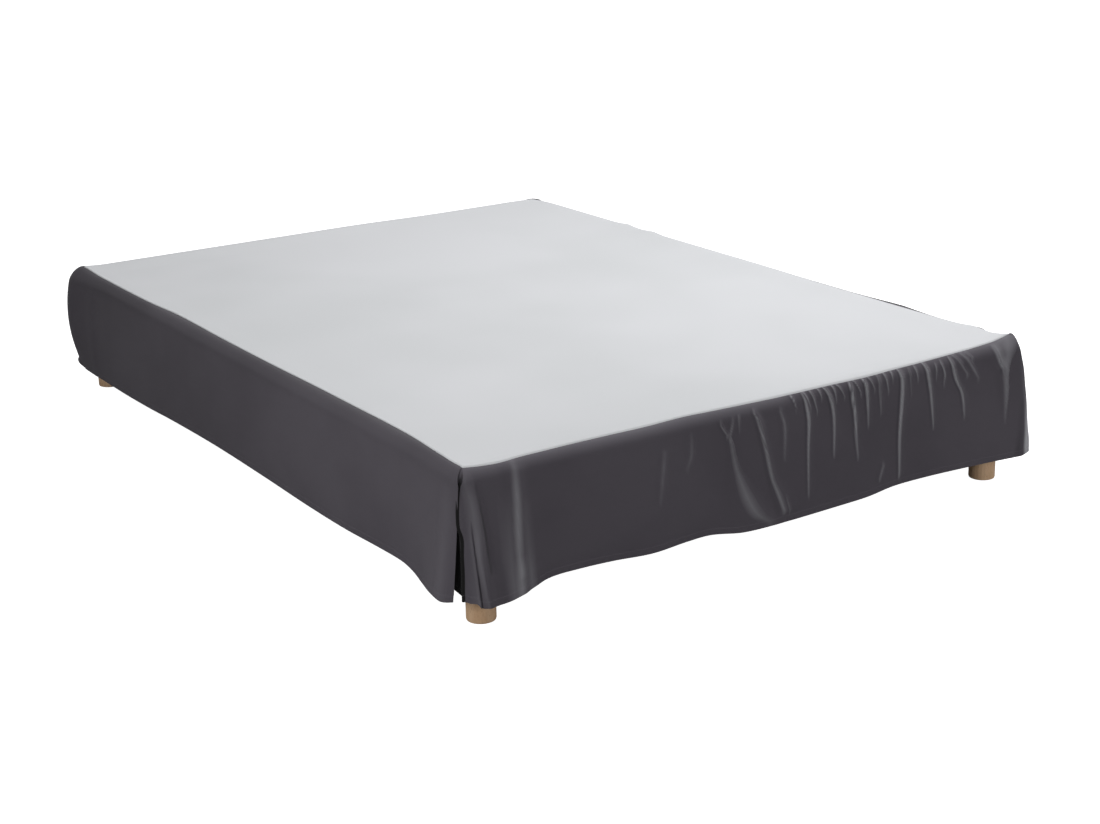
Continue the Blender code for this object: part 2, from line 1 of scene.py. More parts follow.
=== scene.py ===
"""The look of a fitted bed skirt on a divan base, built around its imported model.

The skirt is fine cloth on the folds of its solids: a pale platform sheet and four anthracite drops. The
foot drop is gathered along its seam, and its ends turn back behind the side drops. The base and its four
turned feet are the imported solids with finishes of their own.

Frame: metres, +Z up, +Y from the foot of the bed to its head, origin on the floor under the middle.
A place on a drop is `at`, along the side, and `level`, the height above the floor that the cloth would
have if it hung straight down from its seam.
"""

import logging
import math
from dataclasses import dataclass, field
from enum import Enum
from typing import Optional, Sequence, Union

import bmesh
import bpy
import numpy as np
from mathutils import Matrix, Vector

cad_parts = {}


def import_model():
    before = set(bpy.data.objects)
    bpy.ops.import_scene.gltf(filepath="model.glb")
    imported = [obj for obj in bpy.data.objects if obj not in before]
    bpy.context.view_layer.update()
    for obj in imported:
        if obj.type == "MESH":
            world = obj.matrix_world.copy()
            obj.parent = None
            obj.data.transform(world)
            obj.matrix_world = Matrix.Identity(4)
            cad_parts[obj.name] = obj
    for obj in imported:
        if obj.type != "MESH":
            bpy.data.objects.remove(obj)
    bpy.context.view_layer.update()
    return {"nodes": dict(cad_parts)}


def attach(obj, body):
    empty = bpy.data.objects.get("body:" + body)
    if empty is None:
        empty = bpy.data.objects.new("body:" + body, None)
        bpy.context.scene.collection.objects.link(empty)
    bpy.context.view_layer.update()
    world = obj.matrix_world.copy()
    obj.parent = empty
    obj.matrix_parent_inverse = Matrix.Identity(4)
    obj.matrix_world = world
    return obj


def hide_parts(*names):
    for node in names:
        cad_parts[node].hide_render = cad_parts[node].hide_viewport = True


LOG = logging.getLogger("bed_skirt")
BODY = "root"
BASE = "base_box"
SCREEN_GAMMA = 2.2
FULL_TURN = 2 * math.pi
QUARTER_TURN = FULL_TURN / 4
SIDE_END = 0.94406  # a side drop ends here, half way round a head corner
HEAD_END = 0.69406  # and so do both ends of the head drop

Number = Union[int, float]
Colour = tuple[float, float, float]


def screen(red: Number, green: Number, blue: Number) -> Colour:
    """A linear colour from one seen on a screen, 0 to 255."""
    return tuple((value / 255) ** SCREEN_GAMMA for value in (red, green, blue))


class Slot(Enum):
    """The record's material slots."""

    SKIRT = "anthracite_cloth"
    PLATFORM = "pale_platform_cloth"
    TICKING = "plain_ticking"
    WOOD = "turned_beech"


class Hand(Enum):
    """The two sides of the bed, seen from its foot."""

    LEFT = "left"
    RIGHT = "right"


class Hold(Enum):
    """How a sheet of cloth is held."""

    HUNG = "hung"
    GATHERED = "gathered"
    LAID = "laid"


# ---------------------------------------------------------------- shader maths
class Value:
    """A shader socket that carries a number, with Python's arithmetic on it."""

    def __init__(self, shader: "Shader", socket: bpy.types.NodeSocket) -> None:
        """Keeps the socket and the shader that adds nodes to it."""
        self.shader = shader
        self.socket = socket

    def _math(self, operation: str, *operands: Union["Value", Number]) -> "Value":
        """Adds a Math node.

        Args:
            operation: the node's operation.
            operands: its inputs in order.

        Returns:
            The node's result.
        """
        node = self.shader.node("ShaderNodeMath", {"operation": operation}, dict(enumerate(operands)))
        return Value(self.shader, node.outputs[0])

    def __add__(self, other: Union["Value", Number]) -> "Value":
        """self + other."""
        return self._math("ADD", self, other)

    def __radd__(self, other: Number) -> "Value":
        """other + self."""
        return self._math("ADD", other, self)

    def __sub__(self, other: Union["Value", Number]) -> "Value":
        """self - other."""
        return self._math("SUBTRACT", self, other)

    def __rsub__(self, other: Number) -> "Value":
        """other - self."""
        return self._math("SUBTRACT", other, self)

    def __mul__(self, other: Union["Value", Number]) -> "Value":
        """self * other."""
        return self._math("MULTIPLY", self, other)

    def __rmul__(self, other: Number) -> "Value":
        """other * self."""
        return self._math("MULTIPLY", other, self)

    def wave(self, length: float) -> "Value":
        """A sine of this value that repeats after `length`."""
        return self._math("SINE", self * (FULL_TURN / length))

    def near(self, place: float, reach: float) -> "Value":
        """1 where this value is within `reach` of `place`, and 0 elsewhere."""
        return self._math("COMPARE", self, place, reach)

    def above(self, limit: float) -> "Value":
        """1 where this value is more than `limit`, and 0 elsewhere."""
        return self._math("GREATER_THAN", self, limit)

    def ranged(self, low: float, high: float) -> "Value":
        """This value's run from low to high as a smooth step from 0 to 1.

        Args:
            low: where the step is 0.
            high: where it is 1.

        Returns:
            The step.
        """
        settings = {"interpolation_type": "SMOOTHSTEP"}
        inputs = {"Value": self, "From Min": low, "From Max": high}
        node = self.shader.node("ShaderNodeMapRange", settings, inputs)
        return Value(self.shader, node.outputs["Result"])


class Shader:
    """One material's nodes around its Principled shader."""

    def __init__(self, name: str) -> None:
        """Makes the material.

        Args:
            name: the material's name.
        """
        self.material = bpy.data.materials.new(name)
        self.material.use_nodes = True
        self.tree = self.material.node_tree
        self.principled = self.tree.nodes["Principled BSDF"]

    def node(
        self, kind: str, settings: Optional[dict] = None, inputs: Optional[dict] = None
    ) -> bpy.types.Node:
        """Adds a node.

        Args:
            kind: the node's type.
            settings: its properties, set first.
            inputs: values or links of its sockets, by name or number.

        Returns:
            The node.
        """
        node = self.tree.nodes.new(kind)
        for name, setting in (settings or {}).items():
            setattr(node, name, setting)
        for name, value in (inputs or {}).items():
            self.feed(node.inputs[name], value)
        return node

    def feed(self, socket: bpy.types.NodeSocket, value: object) -> None:
        """Links a value or socket to a socket, or sets it to a constant.

        Args:
            socket: the socket to feed.
            value: a Value, a socket, a number or a colour.
        """
        if isinstance(value, Value):
            value = value.socket
        if isinstance(value, bpy.types.NodeSocket):
            self.tree.links.new(value, socket)
        elif socket.type == "RGBA":
            socket.default_value = (*value, 1.0)
        else:
            socket.default_value = value

    def finish(self, inputs: dict[str, object]) -> bpy.types.Material:
        """Feeds the Principled shader.

        Args:
            inputs: values or links of its sockets by name.

        Returns:
            The material.
        """
        for name, value in inputs.items():
            self.feed(self.principled.inputs[name], value)
        return self.material

    def attribute(self, name: str) -> Value:
        """A number kept on the piece's own points."""
        return Value(self, self.node("ShaderNodeAttribute", {"attribute_name": name}).outputs["Fac"])

    def place(self, kind: str) -> bpy.types.NodeSocket:
        """Texture coordinates: "Object" or "UV"."""
        return self.node("ShaderNodeTexCoord").outputs[kind]

    def parts(self, vector: bpy.types.NodeSocket) -> tuple[Value, Value, Value]:
        """A vector's three numbers."""
        node = self.node("ShaderNodeSeparateXYZ", inputs={"Vector": vector})
        return tuple(Value(self, output) for output in node.outputs)

    def mapped(self, vector: bpy.types.NodeSocket, scale: Sequence[float]) -> bpy.types.NodeSocket:
        """A vector stretched by a scale along each axis."""
        return self.node("ShaderNodeMapping", inputs={"Vector": vector, "Scale": scale}).outputs[0]

    def noise(self, vector: bpy.types.NodeSocket, scale: float, detail: float = 2.0) -> Value:
        """Soft noise.

        Args:
            vector: the coordinates.
            scale: how many features fit in a metre.
            detail: how much finer noise is added.

        Returns:
            A value of about 0.3 to 0.7.
        """
        inputs = {"Vector": vector, "Scale": scale, "Detail": detail, "Roughness": 0.5}
        return Value(self, self.node("ShaderNodeTexNoise", inputs=inputs).outputs[0])

    def mix(self, low: object, high: object, share: Value) -> bpy.types.NodeSocket:
        """A colour between two.

        Args:
            low: the colour, or its socket, where share is 0.
            high: the same where share is 1.
            share: the Mix factor.

        Returns:
            The mixed colour's socket.
        """
        node = self.node("ShaderNodeMix", {"data_type": "RGBA", "clamp_factor": True})
        for socket, value in zip((s for s in node.inputs if s.type == "RGBA"), (low, high)):
            self.feed(socket, value)
        self.feed(node.inputs[0], share)
        return next(output for output in node.outputs if output.type == "RGBA")

    def bump(self, height: Value, depth: float, strength: float) -> bpy.types.NodeSocket:
        """A Bump node's normal.

        Args:
            height: the relief, where 1 is `depth` high.
            depth: in metres.
            strength: of the effect, 0 to 1.

        Returns:
            The normal's socket.
        """
        inputs = {"Height": height, "Distance": depth, "Strength": strength}
        return self.node("ShaderNodeBump", inputs=inputs).outputs[0]


# ---------------------------------------------------------------- finishes
@dataclass(frozen=True)
class SkirtFinish:
    """Anthracite polycotton with a fine plain weave, a soft sheen and a stitched hem."""

    deep: Colour = screen(74, 70, 77)
    light: Colour = screen(88, 84, 91)
    painted_highlight: Colour = screen(168, 168, 173)  # painted highlight on the sharpest crests of creases
    painted_shade: Colour = screen(4, 4, 5)  # painted shade in the pleats, grooves and beside creases
    stitch: Colour = screen(104, 100, 107)
    bloom: Colour = screen(228, 230, 230)
    thread: float = 0.0011  # two threads of the weave
    relief: float = 0.00006
    slub: float = 900.0  # slubs of the thread in a metre
    slub_stretch: tuple[float, float, float] = (1.0, 0.12, 1.0)  # they run up the cloth
    cloud: float = 2.6  # clouds of colour in a metre
    stitch_line: float = 0.0125  # the hem's stitches above its edge
    stitch_half: float = 0.0005
    stitch_length: float = 0.0042
    stitch_gap: float = -0.4  # a stitch shows where its wave is above this
    roughness: float = 0.76

    def material(self) -> bpy.types.Material:
        """Builds the material on UVs in metres: along the side, and up from the hem.

        Returns:
            The cloth's material.
        """
        shader = Shader("anthracite_weave")
        uv = shader.place("UV")
        along, up, _ = shader.parts(uv)
        weave = along.wave(self.thread) * up.wave(self.thread)
        slubs = shader.noise(shader.mapped(uv, self.slub_stretch), self.slub)
        clouds = shader.noise(uv, self.cloud, 3.0).ranged(0.35, 0.65)
        stitch = along.wave(self.stitch_length).above(self.stitch_gap)
        stitches = up.near(self.stitch_line, self.stitch_half) * stitch
        colour = shader.mix(self.deep, self.light, clouds * 0.45 + slubs * 0.35)
        # painted highlight on crests and painted shade in pleats, from marks kept on the points
        colour = shader.mix(colour, self.painted_highlight, shader.attribute("highlight_paint") * 0.5)
        colour = shader.mix(colour, self.painted_shade, shader.attribute("shade_paint"))
        colour = shader.mix(colour, self.stitch, stitches * 0.35)
        relief = weave * 0.5 + slubs * 0.9 - stitches * 1.6
        return shader.finish(
            {
                "Base Color": colour,
                "Roughness": slubs * 0.12 + self.roughness,
                "Specular IOR Level": 0.32,
                "Sheen Weight": 0.16,
                "Sheen Roughness": 0.42,
                "Sheen Tint": self.bloom,
                "Normal": shader.bump(relief, self.relief, 0.6),
            }
        )


@dataclass(frozen=True)
class PlatformFinish:
    """Pale non-woven platform cloth with a fine pressed dot pattern."""

    shade: Colour = screen(194, 196, 198)
    bright: Colour = screen(205, 206, 209)
    dot: float = 0.0024  # from one dot to the next
    relief: float = 0.00012
    fibre: float = 1400.0  # fibres in a metre
    cloud: float = 1.7  # clouds of colour in a metre
    roughness: float = 0.82

    def material(self) -> bpy.types.Material:
        """Builds the material on Object coordinates.

        Returns:
            The material.
        """
        shader = Shader("pale_nonwoven")
        place = shader.place("Object")
        across, along, _ = shader.parts(place)
        dots = (across.wave(self.dot) * along.wave(self.dot)).ranged(0.2, 0.9)
        fibres = shader.noise(place, self.fibre, 3.0)
        clouds = shader.noise(place, self.cloud).ranged(0.3, 0.7)
        colour = shader.mix(self.shade, self.bright, clouds * 0.6 + fibres * 0.4)
        return shader.finish(
            {
                "Base Color": colour,
                "Roughness": fibres * 0.1 + self.roughness,
                "Specular IOR Level": 0.25,
                "Normal": shader.bump(fibres * 0.8 - dots * 0.6, self.relief, 0.5),
            }
        )


@dataclass(frozen=True)
class TickingFinish:
    """Plain undyed ticking round the base, a close twill."""

    pale: Colour = screen(196, 193, 186)
    dark: Colour = screen(172, 169, 161)
    rib: float = 0.0021  # from one rib of the twill to the next
    relief: float = 0.00012
    fibre: float = 800.0  # fibres in a metre
    roughness: float = 0.84

    def material(self) -> bpy.types.Material:
        """Builds the material on Object coordinates.

        Returns:
            The material.
        """
        shader = Shader("plain_twill")
        place = shader.place("Object")
        across, along, up = shader.parts(place)
        ribs = (across + along + up).wave(self.rib)
        fibres = shader.noise(place, self.fibre, 3.0)
        return shader.finish(
            {
                "Base Color": shader.mix(self.dark, self.pale, ribs * 0.25 + fibres * 0.9),
                "Roughness": fibres * 0.1 + self.roughness,
                "Normal": shader.bump(ribs * 0.6 + fibres * 0.5, self.relief, 0.6),
            }
        )


@dataclass(frozen=True)
class BeechFinish:
    """Turned beech: fine upright grain, short darker flecks and a satin lacquer."""

    pale: Colour = screen(222, 187, 151)
    warm: Colour = screen(198, 160, 124)
    fleck: Colour = screen(156, 118, 87)
    relief: float = 0.00015
    grain: tuple[float, float] = (0.06, 260.0)  # its stretch up the foot, and lines in a metre
    bands: tuple[float, float] = (0.25, 34.0)
    flecks: tuple[float, float] = (0.14, 1100.0)
    roughness: float = 0.42

    def material(self) -> bpy.types.Material:
        """Builds the material on Object coordinates.

        Returns:
            The material.
        """
        shader = Shader("turned_beech_satin")
        place = shader.place("Object")
        grain, bands, flecks = (
            shader.noise(shader.mapped(place, (1.0, 1.0, stretch)), scale, detail)
            for (stretch, scale), detail in ((self.grain, 5.0), (self.bands, 2.0), (self.flecks, 1.0))
        )
        bands, flecks = bands.ranged(0.35, 0.65), flecks.ranged(0.6, 0.72)
        colour = shader.mix(self.warm, self.pale, bands * 0.6 + grain * 0.5)
        colour = shader.mix(colour, self.fleck, flecks * 0.55)
        return shader.finish(
            {
                "Base Color": colour,
                "Roughness": grain * 0.2 + self.roughness,
                "Normal": shader.bump(grain - flecks * 0.5, self.relief, 0.35),
            }
        )


@dataclass(frozen=True)
class StudioFinish:
    """Plain board, with a glow of its own or without."""

    name: str
    pale: Colour
    glow: float

    def material(self) -> bpy.types.Material:
        """Builds the material.

        Returns:
            The material.
        """
        shader = Shader(self.name)
        grain = shader.noise(shader.place("Object"), 40.0)
        return shader.finish(
            {
                "Base Color": self.pale,
                "Roughness": grain * 0.05 + 0.9,
                "Specular IOR Level": 0.0,
                "Emission Color": (1.0, 1.0, 1.0),
                "Emission Strength": self.glow,
            }
        )


# ---------------------------------------------------------------- the cover's sizes
@dataclass(frozen=True)
class Cover:
    """The cover's driving sizes, close to those in the part's source, round thinner cloth."""

    half_width: float = 0.7005  # middle of the bed to the outer face of a side drop
    half_length: float = 0.9505  # the same to the foot or head drop
    rim_height: float = 0.311
    shoulder: float = 0.0285  # radius of the cloth over the base's top edge
    head_corner: float = 0.030  # radius round the head corners, seen from above
    corner_gap: float = 0.0006
    panel_top: float = 0.3093  # the platform sheet where it lies flat
    panel_flat_from: float = 0.100
    cloth: float = 0.0012
    platform_cloth: float = 0.0010
    tip_reach: float = 0.050  # a corner draws the seam's end in over this length
    tip_clear: float = 0.0015  # the side drops' seams start this far behind the foot drop's
    peak_reach: float = 0.065  # a raised corner dies away over this distance
    peaks: tuple[tuple[float, float, float], ...] = (  # x, y and how high it stands up
        (0.688, -0.936, 0.011),
        (0.684, -0.836, 0.005),
        (-0.684, 0.934, 0.005),
        (0.684, 0.934, -0.002),
        (0.684, 0.457, 0.005),
        (0.684, 0.345, 0.0045),
    )
    edge_rise: float = 0.0035  # how far the right edge stands up, and half of the head edge
    right_edge: tuple[float, float] = (0.560, 0.680)  # across the bed, from level to raised
    right_edge_end: tuple[float, float] = (0.930, 0.820)  # along it, the same
    head_edge: tuple[float, float] = (0.820, 0.925)
    head_edge_end: tuple[float, float] = (0.380, 0.060)

    @property
    def turn(self) -> float:
        """Cloth used up by the roll over the edge."""
        return self.shoulder * QUARTER_TURN

    @property
    def face_top(self) -> float:
        """Height where the cloth leaves the edge and hangs free."""
        return self.rim_height - self.shoulder

    def reach_of(self, inset: np.ndarray) -> np.ndarray:
        """How far the cloth at an inset from the outer face has run past the line where the roll starts."""
        rolled = self.shoulder * np.arcsin(1 - np.clip(inset, 0, self.shoulder) / self.shoulder)
        return np.where(inset >= self.shoulder, self.shoulder - inset, rolled)

    def over_edge(self, reach: np.ndarray) -> tuple[np.ndarray, np.ndarray]:
        """Where the cloth is that rolls over the edge.

        Args:
            reach: how far the cloth has run past the line where the roll starts.

        Returns:
            Its insets from the outer face, and its drops below the rim.
        """
        turn = np.clip(reach, 0, self.turn) / self.shoulder
        inset = np.where(reach <= 0, self.shoulder - reach, self.shoulder * (1 - np.sin(turn)))
        drop = self.shoulder * (1 - np.cos(turn)) + np.maximum(0, reach - self.turn)
        return inset, drop

    def peak_height(self, x: np.ndarray, y: np.ndarray) -> np.ndarray:
        """How far the raised corners and edges lift the seam.

        Args:
            x: places across the bed, from its middle.
            y: places along it.

        Returns:
            The rises.
        """
        right = step(*self.right_edge, x) * step(*self.right_edge_end, y)
        head = step(*self.head_edge, y) * step(*self.head_edge_end, x)
        total = self.edge_rise * (right + head)
        for peak_x, peak_y, rise in self.peaks:
            away = np.hypot(x - peak_x, y - peak_y) / self.peak_reach
            total += rise * np.clip(1 - away, 0, None) ** 2
        return total


COVER = Cover()


def straight_through(pairs: Sequence[tuple[float, float]], at: np.ndarray) -> np.ndarray:
    """Values on straight lines between pairs of place and value."""
    places, values = zip(*sorted(pairs))
    return np.interp(at, places, values)


def smooth_through(places: Sequence[float], values: Sequence[float], at: np.ndarray) -> np.ndarray:
    """Values on a smooth curve.

    Args:
        places: rising places that the curve is given at.
        values: its values there.
        at: where it is wanted; it is held level past the ends.

    Returns:
        The values.
    """
    places, values = np.asarray(places, float), np.asarray(values, float)
    before = np.clip(np.arange(len(places)) - 1, 0, None)
    after = np.clip(np.arange(len(places)) + 1, None, len(places) - 1)
    slopes = (values[after] - values[before]) / (places[after] - places[before])
    at = np.clip(at, places[0], places[-1])
    index = np.clip(np.searchsorted(places, at) - 1, 0, len(places) - 2)
    span = places[index + 1] - places[index]
    share = (at - places[index]) / span
    square, cube = share**2, share**3
    return (
        values[index] * (2 * cube - 3 * square + 1)
        + slopes[index] * span * (cube - 2 * square + share)
        + values[index + 1] * (3 * square - 2 * cube)
        + slopes[index + 1] * span * (cube - square)
    )


def step(low: float, high: float, value: np.ndarray) -> np.ndarray:
    """A smooth step from 0 at low to 1 at high."""
    share = np.clip((value - low) / (high - low), 0, 1)
    return share * share * (3 - 2 * share)


@dataclass(frozen=True)
class Section:
    """The hang of a drop at one place along its side.

    seam_in: how far inside the outer face its seam is. top_out, mid_out and hem_out: how far the cloth
    stands off that face under the edge, half way down and at the hem. hem_height: above the floor.
    """

    at: float
    seam_in: float
    top_out: float
    mid_out: float
    hem_out: float
    hem_height: float


@dataclass(frozen=True)
class Crease:
    """A soft ridge, or a trough where its rise is below 0, along a path down the cloth.

    path: place along the side, level and rise, from the top down. before and after: how far its two
    flanks reach towards lower and higher places along the side. widths: shares of those reaches at the
    places of its path. Its paint strength: how strong its painted highlight and painted shade are.
    shade: the share of painted shade on the cloth beside it.
    """

    path: tuple[tuple[float, float, float], ...]
    before: float
    after: float
    widths: tuple[float, ...] = ()
    rub: float = 1.0
    shade: float = 0.12

    FADE = 0.012  # its ends die away over this length
    ROUND = 0.18  # how round its crest is, as a share of a flank
    FULL_HIGHLIGHT_RISE = 0.0055  # a crease this high gets its full painted highlight
    FAINT = 0.75  # a low crease gets more painted highlight than its rise would give it
    HIGHLIGHT_AT = -0.36  # middle of the painted highlight band and half its width, as shares of the first flank
    HIGHLIGHT_HALF = 0.52
    SHADED_AT = -1.6  # the same of the painted shade before it
    SHADED_HALF = 0.9

    def flank(self, at: np.ndarray, level: np.ndarray) -> tuple[np.ndarray, np.ndarray]:
        """Where places are on its flanks.

        Args:
            at: places along the side.
            level: their levels.

        Returns:
            Places on its flanks, from -1 to 1 and beyond, and its rise at their level.
        """
        places, levels, rises = (np.array(column[::-1]) for column in zip(*self.path))
        ends = np.array([levels[0] - self.FADE, *levels, levels[-1] + self.FADE])
        past = at - smooth_through(levels, places, level)
        reach = np.where(past < 0, self.before, self.after)
        if self.widths:
            reach = reach * np.interp(level, levels, self.widths[::-1])
        return past / reach, smooth_through(ends, [0.0, *rises, 0.0], level)

    def lift(self, at: np.ndarray, level: np.ndarray) -> np.ndarray:
        """How far it lifts the cloth.

        Args:
            at: places along the side.
            level: their levels.

        Returns:
            The lift, off the cloth's own face.
        """
        share, rise = self.flank(at, level)
        blunt = (np.hypot(share, self.ROUND) - self.ROUND) / (math.hypot(1, self.ROUND) - self.ROUND)
        return rise * np.clip(1 - blunt, 0, None) ** 2

    def painted_light(self, at: np.ndarray, level: np.ndarray) -> np.ndarray:
        """How much painted highlight it puts on its first flank, and painted shade on the cloth before it.

        Args:
            at: places along the side.
            level: their levels.

        Returns:
            The mark of painted light, above 0 for painted highlight and below 0 for painted shade.
        """
        share, rise = self.flank(at, level)
        rubbed = np.clip(1 - np.abs(share - self.HIGHLIGHT_AT) / self.HIGHLIGHT_HALF, 0, None)
        painted_shade = np.clip(1 - np.abs(share - self.SHADED_AT) / self.SHADED_HALF, 0, None)
        mark = np.sign(rise) * (np.abs(rise) / self.FULL_HIGHLIGHT_RISE) ** self.FAINT
        return self.rub * mark * (rubbed - self.shade * painted_shade)


def gather(*path: tuple[float, float, float], before: float = 0.0048, after: float = 0.020) -> Crease:
    """A long gather, narrow where it leaves the seam, with a strong painted highlight."""
    widths = (0.65, 0.85, *(1.0 for _ in path[2:]))
    return Crease(path, before, after, widths, rub=1.8)


def short_gather(*path: tuple[float, float, float], after: float = 0.006) -> Crease:
    """A short, sharp gather between two long ones, with a strong painted highlight."""
    return Crease(path, 0.0036, after, rub=2.2)


@dataclass(frozen=True)
class Side:
    """One edge of the bed, seen from above: its middle, its directions and how its ends finish."""

    middle: tuple[float, float]
    along: tuple[float, float]
    outward: tuple[float, float]
    half: float
    start_rounds: bool = False
    finish_rounds: bool = False

    def plan(self, at: np.ndarray, out: np.ndarray) -> tuple[np.ndarray, np.ndarray]:
        """Places seen from above, with rounded ends.

        Args:
            at: places along the side.
            out: how far off its outer face.

        Returns:
            The places across the bed, and along it.
        """
        rounds = np.where(at > 0, self.finish_rounds, self.start_rounds)
        past = np.where(rounds, np.abs(at) - (self.half - COVER.head_corner), 0)
        turn = np.clip(past, 0, None) / COVER.head_corner
        reach = COVER.head_corner + out
        short = COVER.corner_gap * turn / (QUARTER_TURN / 2)
        bent = self.half - COVER.head_corner + reach * np.sin(turn) - short * np.cos(turn)
        at = np.where(turn > 0, np.sign(at) * bent, at)
        out = np.where(turn > 0, reach * np.cos(turn) + short * np.sin(turn) - COVER.head_corner, out)
        return self.flat_plan(at, out)

    def flat_plan(self, at: np.ndarray, out: np.ndarray) -> tuple[np.ndarray, np.ndarray]:
        """Places seen from above, with square ends.

        Args:
            at: places along the side.
            out: how far off its outer face.

        Returns:
            The places across the bed, and along it.
        """
        x = self.middle[0] + self.along[0] * at + self.outward[0] * out
        y = self.middle[1] + self.along[1] * at + self.outward[1] * out
        return x, y


# ---------------------------------------------------------------- how the drops hang
FOOT_SECTIONS = (
    Section(-0.6955, 0.0190, 0.000, 0.006, 0.014, 0.066),
    Section(-0.6900, 0.0185, 0.000, 0.009, 0.021, 0.064),
    Section(-0.6800, 0.0180, 0.001, 0.012, 0.028, 0.062),
    Section(-0.6740, 0.0172, 0.001, 0.014, 0.032, 0.054),
    Section(-0.6500, 0.0138, 0.001, 0.016, 0.035, 0.052),
    Section(-0.6100, 0.0112, 0.001, 0.012, 0.030, 0.052),
    Section(-0.5600, 0.0133, 0.000, 0.005, 0.012, 0.0565),
    Section(-0.5100, 0.0138, 0.000, 0.001, 0.002, 0.0625),
    Section(-0.4500, 0.0145, 0.000, 0.001, 0.001, 0.063),
    Section(-0.3700, 0.0144, 0.000, 0.002, 0.002, 0.0603),
    Section(-0.2800, 0.0138, 0.000, 0.004, 0.007, 0.0555),
    Section(-0.1900, 0.0157, 0.000, 0.002, 0.001, 0.0570),
    Section(-0.1350, 0.0140, 0.000, 0.002, 0.002, 0.0575),
    Section(-0.0600, 0.0120, 0.000, 0.005, 0.013, 0.0492),
    Section(0.0400, 0.0101, 0.000, 0.005, 0.014, 0.0475),
    Section(0.1800, 0.0096, 0.000, 0.004, 0.012, 0.0485),
    Section(0.2700, 0.0088, 0.000, 0.003, 0.008, 0.049),
    Section(0.3500, 0.0105, 0.000, 0.002, 0.001, 0.0534),
    Section(0.4500, 0.0122, 0.000, 0.002, 0.001, 0.0533),
    Section(0.5450, 0.0152, 0.000, 0.004, 0.006, 0.0522),
    Section(0.6050, 0.0172, 0.001, 0.006, 0.010, 0.0515),
    Section(0.6600, 0.0172, 0.001, 0.007, 0.013, 0.0495),
    Section(0.7170, 0.0145, 0.002, 0.008, 0.018, 0.0480),
)

# hem places of the foot drop's columns, and where the same columns leave the rolled edge
FOOT_LEANS = (
    (-0.6955, -0.6955), (-0.646, -0.672), (-0.578, -0.590), (-0.258, -0.256), (-0.198, -0.187),
    (-0.030, -0.101), (0.053, -0.030), (0.112, 0.091), (0.182, 0.154), (0.246, 0.212), (0.272, 0.259),
    (0.305, 0.292), (0.354, 0.344), (0.455, 0.421), (0.552, 0.502), (0.668, 0.614), (0.717, 0.6955),
)

